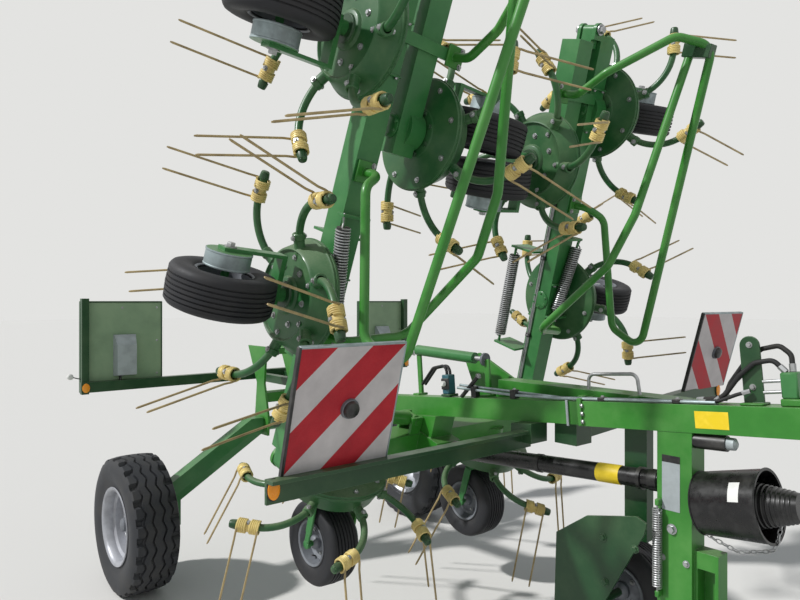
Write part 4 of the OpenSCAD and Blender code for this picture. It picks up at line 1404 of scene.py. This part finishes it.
@dataclass
class BeamFittings:
    """Pipes, valve, clamps, plates, hoses and the hose bracket on the sloping main beam."""

    slope: float = 5.0
    height: float = 1.079
    half: float = 0.050
    shape: Shape = field(default_factory=Shape)

    @property
    def place(self) -> Matrix:
        """Place of the beam's own frame."""
        return Matrix.Translation((0, GANG.line_y, self.height)) @ rotation(-self.slope, "X")

    def oil_pipes(self) -> None:
        """Lay the two oil pipes and their clamp blocks along the top."""
        place, top = self.place, self.half
        for x, lift in ((-0.020, 0.046), (-0.038, 0.034)):
            path = bent([(x, -0.452, top + lift + 0.011), (x, -0.802, top + lift - 0.018),
                         (x, -1.048, top + 0.008), (x, -1.700, top + 0.008)], 0.08)
            self.shape.tube(path, 0.0062, FINISH.galvanised, place, 10)
        for y, lift in ((-0.800, 0.040), (-0.560, 0.052), (-1.250, 0.016), (-1.560, 0.016)):
            self.shape.block((-0.046, y - 0.016, top), (-0.012, y + 0.016, top + lift), FINISH.black,
                             place, 0.003)
            self.shape.bolt((-0.029, y, top + lift), (0, 0, 1), FINISH.steel, 0.011, place)

    def valve(self) -> None:
        """Build the hydraulic valve with its knob."""
        place = self.place
        self.shape.block((-0.045, -0.400, self.half), (0.020, -0.338, 0.062), FINISH.dark_green, place)
        self.shape.block((-0.040, -0.392, 0.062), (0.010, -0.345, 0.158), FINISH.valve, place, 0.004)
        self.shape.block((-0.046, -0.398, 0.085), (-0.038, -0.345, 0.140), FINISH.black, place, 0.003)
        along = place @ Matrix.Translation((-0.046, -0.372, 0.115)) @ rotation(-90, "Y")
        self.shape.lathe([(0.0, 0.022), (0.010, 0.022), (0.013, 0.018), (0.013, 0.004), (0.008, 0.0),
                          (0.0, 0.0)], FINISH.white, along, 20)
        strut = [(-0.030, -0.470, 0.052), (-0.034, -0.590, 0.150)]
        self.shape.tube(strut, 0.010, FINISH.black, place, 12)
        self.shape.bolt(strut[1], (0, -0.75, 0.65), FINISH.steel, 0.018, place)
        for dy in (-0.355, -0.378):
            path = bent([(-0.010, dy, 0.155), (-0.010, dy, 0.205), (0.010, dy + 0.120, 0.190),
                         (0.020, dy + 0.22, 0.105)], 0.035)
            self.shape.tube(path, 0.0075, FINISH.hose, place, 10)

    def clamps(self) -> None:
        """Build the clamp band, the handle and the bolts of the joint between the beam's two lengths."""
        place, half = self.place, self.half
        self.shape.block((-half - 0.003, -1.097, -half - 0.003), (-half + 0.002, -1.086, half + 0.003),
                         FINISH.plate, place, 0.001)
        self.shape.block((-half, -1.165, half), (half, -1.145, half + 0.012), FINISH.green, place)
        self.shape.block((-half - 0.010, -1.165, -half), (-half, -1.145, half + 0.012), FINISH.green, place)
        for z in (-0.032, 0.0, 0.032):
            self.shape.bolt((-half - 0.005, -1.165, z), (0, -1, 0), FINISH.steel, 0.013, place)
        handle = bent([(0.110, -1.094, 0.059), (0.110, -1.100, 0.148), (0.110, -1.325, 0.148),
                       (0.110, -1.332, 0.062)], 0.03)
        self.shape.tube(handle, 0.0075, FINISH.steel, place, 10)
        self.shape.block((0.046, -1.110, 0.035), (0.122, -1.080, 0.062), FINISH.green, place)
        self.shape.block((0.046, -1.346, 0.035), (0.122, -1.318, 0.065), FINISH.green, place)

    def plates(self) -> None:
        """Build the blank yellow plate on the beam's near side."""
        half = self.half
        self.shape.block((-half - 0.0012, -1.745, -0.032), (-half, -1.628, 0.028), FINISH.yellow,
                         self.place, 0.0004)

    def hose_bracket(self) -> None:
        """Build the upright hose bracket at the front end, with its loops, bars and block."""
        place = self.place
        arc = [(0.0325 * math.cos(a) - 1.8145, 0.2495 + 0.0325 * math.sin(a))
               for a in (math.pi * k / 10 for k in range(11))]
        outline = [(-1.847, 0.050), (-1.782, 0.050)] + arc
        upright = place @ Matrix(((0, 0, 1, -0.004), (1, 0, 0, 0), (0, 1, 0, 0), (0, 0, 0, 1)))
        self.shape.slab(outline, 0.009, FINISH.dark_green, upright)
        self.shape.block((-0.030, -1.852, self.half), (0.036, -1.776, 0.058), FINISH.green, place)
        for z in (0.110, 0.252):
            self.shape.bolt((-0.004, -1.8145, z), (-1, 0, 0), FINISH.steel, 0.013, place)
        for z in (0.092, 0.128):
            self.shape.tube([(0.0, -1.846, z), (0.0, -1.912, z + 0.004)], 0.006, FINISH.steel, place, 10)
        self.shape.block((-0.030, -1.961, 0.075), (0.030, -1.910, 0.160), FINISH.booms, place, 0.005)
        self.shape.block((-0.030, -1.990, self.half), (0.034, -1.905, 0.075), FINISH.green, place, 0.004)

    def hoses(self) -> None:
        """Lay the short hoses that the bracket and its clips hold all the way, with their silver ends."""
        place = self.place
        runs = ([(0.030, -1.700, 0.060), (0.034, -1.725, 0.120), (0.028, -1.790, 0.200),
                 (0.024, -1.842, 0.236), (0.024, -1.899, 0.246), (0.018, -1.935, 0.215),
                 (0.010, -1.938, 0.160)],
                [(-0.020, -1.690, 0.058), (-0.020, -1.730, 0.088), (-0.018, -1.780, 0.150),
                 (-0.014, -1.830, 0.192), (-0.010, -1.888, 0.200), (-0.012, -1.925, 0.160)],
                [(0.040, -1.600, 0.058), (0.040, -1.688, 0.066), (0.034, -1.745, 0.130),
                 (0.020, -1.800, 0.176)],
                [(-0.034, -1.640, 0.058), (-0.034, -1.712, 0.064), (-0.030, -1.770, 0.086),
                 (-0.022, -1.812, 0.098)])
        for k, run in enumerate(runs):
            self.shape.tube(bent(run, 0.03), 0.0085 if k < 3 else 0.0065, FINISH.hose, place, 12)
            for point, other in ((Vector(run[0]), Vector(run[1])), (Vector(run[-1]), Vector(run[-2]))):
                along = (other - point).normalized()
                self.shape.tube([point, point + along * 0.026], 0.0105 if k < 3 else 0.0085, FINISH.steel,
                                place, 6)

    def lift_pipe(self) -> None:
        """Build the slim cylinder that lies above the beam, on its two lugs."""
        place = self.place
        self.shape.tube([(0.060, -0.070, 0.286), (0.060, -0.488, 0.233)], 0.028, FINISH.booms, place, 24)
        self.shape.tube([(0.060, -0.486, 0.2332), (0.060, -0.560, 0.224)], 0.012, FINISH.steel, place, 14)
        eye = [(0.060, -0.548, 0.2255), (0.060, -0.560, 0.224)]
        self.shape.tube(eye, 0.032, FINISH.rim_grey, place, 24)
        for y, z in ((-0.566, 0.226), (-0.078, 0.288)):
            self.shape.block((0.052, y - 0.016, self.half - 0.004), (0.068, y + 0.016, z), FINISH.green,
                             place, 0.004)
            self.shape.block((0.020, y - 0.024, self.half - 0.006), (0.086, y + 0.024, self.half + 0.006),
                             FINISH.green, place, 0.002)

    def build(self) -> None:
        """Build the fittings of the beam."""
        parts = (self.oil_pipes, self.valve, self.clamps, self.plates, self.hose_bracket, self.hoses,
                 self.lift_pipe)
        for part in parts:
            part()
        ride(self.shape.build("beam_fittings"), "chassis", "steel")


@dataclass
class PostFittings:
    """Plates, spring, bolts and chain of the front post and the wheel shield beside it."""

    post_x: float = -0.048

    def chain(self, shape: Shape, place: Matrix) -> None:
        """Hang the guard's safety chain between the post and the bell.

        Args:
            shape: Where the faces go.
            place: Place of the rotor line on the ground.
        """
        knots = [Vector(p) for p in ((-0.050, -1.612, 0.885), (-0.050, -1.680, 0.820),
                                     (-0.022, -1.760, 0.784), (0.0, -1.866, 0.812), (0.0, -1.905, 1.000))]
        path = bent(knots, 0.04, 6.0)
        lengths = [0.0]
        for a, b in zip(path, path[1:]):
            lengths.append(lengths[-1] + (b - a).length)
        pitch = 0.0185
        for k in range(int(lengths[-1] / pitch)):
            run = k * pitch
            i = max(j for j in range(len(path) - 1) if lengths[j] <= run)
            ahead = (path[i + 1] - path[i]).normalized()
            middle = path[i] + ahead * (run - lengths[i] + pitch / 2)
            across = ahead.orthogonal().normalized()
            if k % 2:
                across = ahead.cross(across)
            loop = [middle + ahead * 0.0120 * math.cos(a) + across * 0.0068 * math.sin(a)
                    for a in (2 * math.pi * j / 10 for j in range(10))]
            rings = []
            for j, point in enumerate(loop):
                out = (point - middle).normalized()
                rings.append([point + 0.0022 * (math.cos(b) * out + math.sin(b) * ahead.cross(across))
                              for b in (2 * math.pi * m / 5 for m in range(5))])
            shape.rings(rings, FINISH.steel, place, True, False, True)

    def build(self) -> None:
        """Build the fittings of the post."""
        shape = Shape()
        x = self.post_x
        place = Matrix.Translation((0, GANG.line_y, 0))
        shape.block((x - 0.0014, -1.567, 0.876), (x, -1.499, 1.050), FINISH.plate, place, 0.0004)
        shape.block((x - 0.0016, -1.567, 1.050), (x, -1.499, 1.076), FINISH.black, place, 0.0004)
        for at in ((-1.537, 0.811), (-1.590, 0.700), (-1.500, 0.700), (-1.590, 0.480), (-1.500, 0.480)):
            shape.bolt((x, *at), (-1, 0, 0), FINISH.steel, 0.024 if at[0] == -1.537 else 0.016, place)
        shape.coil((-0.070, -1.492, 0.880), (-0.070, -1.492, 0.592), 0.0155, 0.0028, 34, FINISH.steel,
                   place, 14, 7)
        for z, way in ((0.902, -0.024), (0.568, 0.026)):
            shape.block((-0.076, -1.500, z - 0.012), (x, -1.484, z + 0.012), FINISH.green, place)
            shape.tube([(-0.070, -1.492, z), (-0.070, -1.492, z + way), (-0.058, -1.492, z + 1.3 * way)],
                       0.0034, FINISH.steel, place, 8)
        shape.tube([(-0.020, -1.609, 1.140), (-0.020, -1.722, 1.146)], 0.028, FINISH.black, place, 20)
        shape.tube([(-0.020, -1.720, 1.146), (-0.020, -1.748, 1.1475), (-0.020, -1.754, 1.148)],
                   [0.022, 0.021, 0.012], FINISH.plate, place, 20)
        for y, z in ((-1.302, 0.736), (-1.435, 0.728), (-1.311, 0.568)):
            shape.bolt((-0.124, y, z), (-1, 0, 0), FINISH.dark_green, 0.020, place)
        self.chain(shape, place)
        ride(shape.build("post_fittings"), "chassis", "steel")


@dataclass
class DriveFittings:
    """Band and collars of the guarded drive shaft, and the rims, ribs and blank label of its bell."""

    front: Point = (0.0, -1.470, 0.963)
    back: Point = (0.0, -0.380, 0.892)
    radius: float = 0.037
    bell_rise: float = 10.0
    bell_seat: Point = (0.0, -1.610, 0.915)

    def on_shaft(self, y: float) -> Vector:
        """Point of the shaft's axis at a place along Y."""
        a, b = Vector(self.front), Vector(self.back)
        return a + (b - a) * ((y - a.y) / (b.y - a.y))

    def build(self) -> None:
        """Build the fittings of the drive line."""
        shape = Shape()
        place = Matrix.Translation((0, GANG.line_y, 0))
        bands = ((-1.205, -1.312, 0.0012, FINISH.yellow), (-1.430, -1.468, 0.004, FINISH.black),
                 (-1.385, -1.402, 0.006, FINISH.black), (-0.384, -0.440, 0.010, FINISH.black),
                 (-0.900, -0.925, 0.003, FINISH.black))
        for start, end, proud, finish in bands:
            a, b = self.on_shaft(start), self.on_shaft(end)
            shape.tube([a, a + (b - a) * 0.04, a + (b - a) * 0.96, b],
                       [self.radius - 0.001, self.radius + proud, self.radius + proud,
                        self.radius - 0.001], finish, place, 40)
        ride(shape.build("drive_shaft_bands"), "chassis", "black_plastic")
        bell = Shape()
        seat = place @ Matrix.Translation(self.bell_seat) @ rotation(90 - self.bell_rise, "X")
        for z, r in ((0.246, 0.122), (0.024, 0.1080)):
            bell.lathe([(r - 0.001, z - 0.006), (r + 0.002, z - 0.005), (r + 0.0032, z - 0.002),
                        (r + 0.0022, z), (r - 0.001, z)], FINISH.bell, seat, 64)
        for k in range(10):
            z = 0.200 + 0.0135 * k
            r = 0.078 - 0.032 * (z - 0.190) / 0.150
            bell.lathe([(r - 0.001, z - 0.004), (r + 0.003, z - 0.001), (r + 0.003, z + 0.001),
                        (r - 0.001, z + 0.004)], FINISH.bell, seat, 40)
        rows = []
        for z in (0.158, 0.176, 0.194):
            r = 0.1080 + 0.014 * (z - 0.020) / 0.225 + 0.0008
            turns = [math.radians(131.5 + 6.6 * k) for k in range(6)]
            rows.append([(r * math.cos(a), r * math.sin(a), z) for a in turns])
        points = [p for row in rows for p in row]
        faces = [(6 * i + k, 6 * i + k + 1, 6 * i + k + 7, 6 * i + k + 6) for i in range(2)
                 for k in range(5)]
        bell.add(points, faces, FINISH.white, seat)
        ride(bell.build("bell_ribs"), "chassis", "black_plastic")


@dataclass
class RearBoard:
    """A grey-green rear sheet with rivets and stripes, its lamp box, reflector and marker."""

    side: Side
    middle: float = 1.015
    half: float = 0.240
    low: float = 1.150
    high: float = 1.630
    y: float = 1.449

    def lamp_box(self, shape: Shape, place: Matrix) -> None:
        """Build the pale lamp box on the front of the sheet.

        Args:
            shape: Where the faces go.
            place: Place of the sheet's front face, with X outward.
        """
        points = []
        for x0, x1, z0, z1, out in ((-0.066, 0.062, -0.125, 0.122, 0.0),
                                    (-0.066, 0.062, -0.125, 0.122, 0.020),
                                    (-0.058, 0.054, -0.118, 0.060, 0.062)):
            points.append([(x0, -out, z0), (x1, -out, z0), (x1, -out, z1), (x0, -out, z1)])
        shape.rings(points, FINISH.plate, place @ Matrix.Translation((-0.008, 0, -0.080)), False)
        shape.tube([(0.015, -0.008, -0.205), (0.015, -0.020, -0.260)], 0.007, FINISH.black, place, 8)

    def build(self) -> None:
        """Build the rear board's pieces."""
        s = self.side.value
        shape = Shape()
        at = (s * self.middle, GANG.line_y + self.y, (self.low + self.high) / 2)
        place = Matrix.Translation(at) @ Matrix.Diagonal((s, 1, 1, 1))
        w, h = self.half, (self.high - self.low) / 2
        shape.block((-w + 0.004, -0.0025, -h + 0.004), (w - 0.004, 0.0, h - 0.004), FINISH.sheet_back,
                    place, 0.0008)
        for x in (-w - 0.002, w - 0.004):
            shape.block((x, -0.010, -h), (x + 0.006, 0.014, h + 0.004), FINISH.dark_green, place, 0.0015)
        shape.block((-w, -0.008, h - 0.002), (w, 0.014, h + 0.005), FINISH.dark_green, place, 0.0015)
        rivet = [(0.0, 0.003), (0.004, 0.0026), (0.0065, 0.0012), (0.007, 0.0)]
        for x, z in product((-w + 0.030, 0.0, w - 0.030), (-h + 0.035, 0.0, h - 0.035)):
            seat = place @ Matrix.Translation((x, -0.0025, z)) @ rotation(90, "X")
            shape.lathe(rivet, FINISH.steel, seat, 16, False)
        self.lamp_box(shape, place)
        back = place @ Matrix.Translation((0, 0.012, 0))
        stripes = FINISH.near_board if self.side is Side.RIGHT else FINISH.far_board
        shape.block((-w + 0.004, 0.0, -h + 0.004), (w - 0.004, 0.002, h - 0.004), stripes, back, 0.0006)
        ride(shape.build("rear_sheet_" + self.side.word), "chassis", "board")
        marks = Shape()
        spot = Matrix.Translation((s * 1.235, GANG.line_y + 1.3998, 1.128))
        oval = spot @ rotation(90, "X") @ Matrix.Diagonal((1.0, 1.3, 1.0, 1.0))
        dome = [(0.0, 0.009), (0.016, 0.0085), (0.020, 0.006), (0.021, 0.0)]
        marks.lathe(dome, FINISH.amber, oval, 32, False)
        bends = ((1.258, 1.425, 1.180), (1.296, 1.415, 1.192), (1.318, 1.405, 1.198))
        stalk = [(s * x, GANG.line_y + y, z) for x, y, z in bends]
        marks.tube(stalk, 0.003, FINISH.black, Matrix(), 8)
        knob = Matrix.Translation((s * 1.320, GANG.line_y + 1.404, 1.199)) @ rotation(90, "X")
        marks.lathe([(0.0, 0.014), (0.012, 0.013), (0.017, 0.007), (0.017, -0.004), (0.010, -0.010),
                     (0.0, -0.010)], FINISH.white, knob, 24)
        ride(marks.build("rear_marks_" + self.side.word), "chassis", "black_plastic")


@dataclass
class HingeFittings:
    """Heads of the hinge pins and the lids of the centre and outer gearboxes."""

    @staticmethod
    def pin_heads(shape: Shape, x: float, up: float, reach: float, across: float, place: Matrix) -> None:
        """Put a head on both ends of a hinge pin.

        Args:
            shape: Where the faces go.
            x: Place of the pin along the gang.
            up: Height of the pin.
            reach: Distance from its middle to each head.
            across: Width of the heads.
            place: Place of the section.
        """
        for way in (-1, 1):
            shape.bolt((x, way * reach, up), (0, way, 0), FINISH.steel, across, place)

    def build(self) -> None:
        """Build the heads and lids of both sides."""
        for side in Side:
            heads = Shape()
            self.pin_heads(heads, GANG.hinge_x, GANG.hinge_u, 0.0615, 0.046, GANG.centre(side))
            lid = Matrix.Translation((GANG.rotor_x(1), 0, GANG.beam_top))
            heads.gearbox_lid(FINISH.green, GANG.centre(side) @ lid)
            ride(heads.build("centre_heads_" + side.word), "chassis", "steel")
            tips = Shape()
            lid = Matrix.Translation((GANG.rotor_x(4), 0, GANG.beam_top))
            tips.gearbox_lid(FINISH.booms, GANG.outer(side) @ lid)
            ride(tips.build("outer_lid_" + side.word), "outer_" + side.word, "paint_green")
            pins = Shape()
            self.pin_heads(pins, GANG.outer_x, GANG.outer_u, 0.0612, 0.034, GANG.wing(side))
            ride(pins.build("outer_pin_heads_" + side.word), "wing_" + side.word, "steel")


@dataclass
class Stage:
    """Floor, light and camera. The camera's place and lens were fitted to the photo."""

    reach: float = 60.0
    floor_colour: Colour = srgb(214, 212, 208)
    backdrop: Colour = srgb(227, 227, 225)
    sky: Colour = (0.86, 0.93, 1.0, 1.0)
    sky_strength: float = 0.36
    sensor: float = 36.0
    focal_pixels: float = 666.08
    picture_width: int = 800
    camera_at: Point = (-2.3626, -2.7313, 1.6377)
    camera_tilt: float = 90.056
    camera_turn: float = -40.499

    def build(self) -> None:
        """Build everything that isn't part of the machine."""
        scene = bpy.context.scene
        scene.view_settings.view_transform = "Standard"
        floor_mesh = bpy.data.meshes.new("floor")
        r = self.reach
        floor_mesh.from_pydata([(-r, -r, 0), (r, -r, 0), (r, r, 0), (-r, r, 0)], [], [(0, 1, 2, 3)])
        floor = bpy.data.objects.new("floor", floor_mesh)
        scene.collection.objects.link(floor)
        material = bpy.data.materials.new("floor_plain")
        material.use_nodes = True
        shader = material.node_tree.nodes["Principled BSDF"]
        shader.inputs["Base Color"].default_value = self.floor_colour
        shader.inputs["Roughness"].default_value = 0.9
        shader.inputs["Specular IOR Level"].default_value = 0.1
        floor_mesh.materials.append(material)
        world = bpy.data.worlds.new("studio")
        world.use_nodes = True
        self.light_world(world)
        scene.world = world
        self.sun("key", (-0.80, 0.42, 0.85), 3.5, 3.0)
        self.sun("fill", (-0.3, -0.9, 0.5), 0.22, 70.0)
        camera_data = bpy.data.cameras.new("camera")
        camera_data.sensor_width = self.sensor
        camera_data.lens = self.focal_pixels / self.picture_width * self.sensor
        camera_data.clip_end = 200
        camera = bpy.data.objects.new("camera", camera_data)
        camera.location = Vector(self.camera_at) + Vector((0, GANG.line_y, 0))
        camera.rotation_euler = (math.radians(self.camera_tilt), 0, math.radians(self.camera_turn))
        scene.collection.objects.link(camera)
        scene.camera = camera

    def light_world(self, world: bpy.types.World) -> None:
        """Light the object softly, and show a pale backdrop to the camera and in reflections.

        Args:
            world: The world to set.
        """
        tree = Tree(world.node_tree)
        light = world.node_tree.nodes["Background"]
        light.inputs["Color"].default_value = self.sky
        light.inputs["Strength"].default_value = self.sky_strength
        backdrop = tree.node("ShaderNodeBackground", Color=self.backdrop, Strength=1.0)
        rays = tree.node("ShaderNodeLightPath").outputs
        mirrored = tree.maths("MAXIMUM", rays["Is Glossy Ray"], rays["Is Transmission Ray"])
        seen = tree.maths("MAXIMUM", rays["Is Camera Ray"], mirrored)
        mixed = tree.node("ShaderNodeMixShader")
        tree.feed(mixed.inputs[0], seen)
        tree.feed(mixed.inputs[1], light.outputs[0])
        tree.feed(mixed.inputs[2], backdrop.outputs[0])
        tree.feed(world.node_tree.nodes["World Output"].inputs["Surface"], mixed.outputs[0])

    @staticmethod
    def sun(name: str, toward: Point, strength: float, angle: float) -> None:
        """Add a soft sun.

        Args:
            name: Name of the lamp.
            toward: Direction from the machine to the lamp.
            strength: Its strength.
            angle: Its apparent size in degrees.
        """
        data = bpy.data.lights.new(name, "SUN")
        data.energy = strength
        data.angle = math.radians(angle)
        lamp = bpy.data.objects.new(name, data)
        lamp.rotation_euler = Vector(toward).to_track_quat("Z", "Y").to_euler()
        bpy.context.scene.collection.objects.link(lamp)


@dataclass
class NodeFinishes:
    """Finishes of the CAD nodes that stay in view."""

    table: dict[str, tuple[str, ...]] = field(default_factory=lambda: {
        "green": ("main_frame", "drawbar", "front_post", "centre_gang", "cylinder_right", "cylinder_left"),
        "dark_green": ("front_wheel_arm", "warning_board_right", "warning_board_left", "rear_boards"),
        "booms": ("swing_axle", "wing_right", "wing_left", "outer_right", "outer_left"),
        "galvanised": ("parking_jack_leg",),
        "steel": ("rod_right", "rod_left"),
        "bell": ("pto_guard", "pto_shaft")})

    def build(self) -> None:
        """Give each node its finish in every slot."""
        for finish_name, names in self.table.items():
            material = getattr(FINISH, finish_name).material()
            for name in names:
                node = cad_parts[name]
                if not node.material_slots:
                    node.data.materials.append(material)
                for slot in node.material_slots:
                    slot.material = material
                LOG.info("%s takes %s", name, finish_name)


def main() -> None:
    """Build the pieces in order."""
    logging.basicConfig(level=logging.INFO, format="%(message)s")
    Stage().build()
    NodeFinishes().build()
    for side, number in ROTORS:
        Rotor(side, number).build()
    GangWheels().build()
    for side in Side:
        TransportWheel(side).build()
        GuardHoops(side).build()
        FrontBoard(side).build()
        WingFittings(side).build()
        RearBoard(side).build()
    WheelCans().build()
    BeamFittings().build()
    PostFittings().build()
    DriveFittings().build()
    HingeFittings().build()


if __name__ == "__main__":
    main()
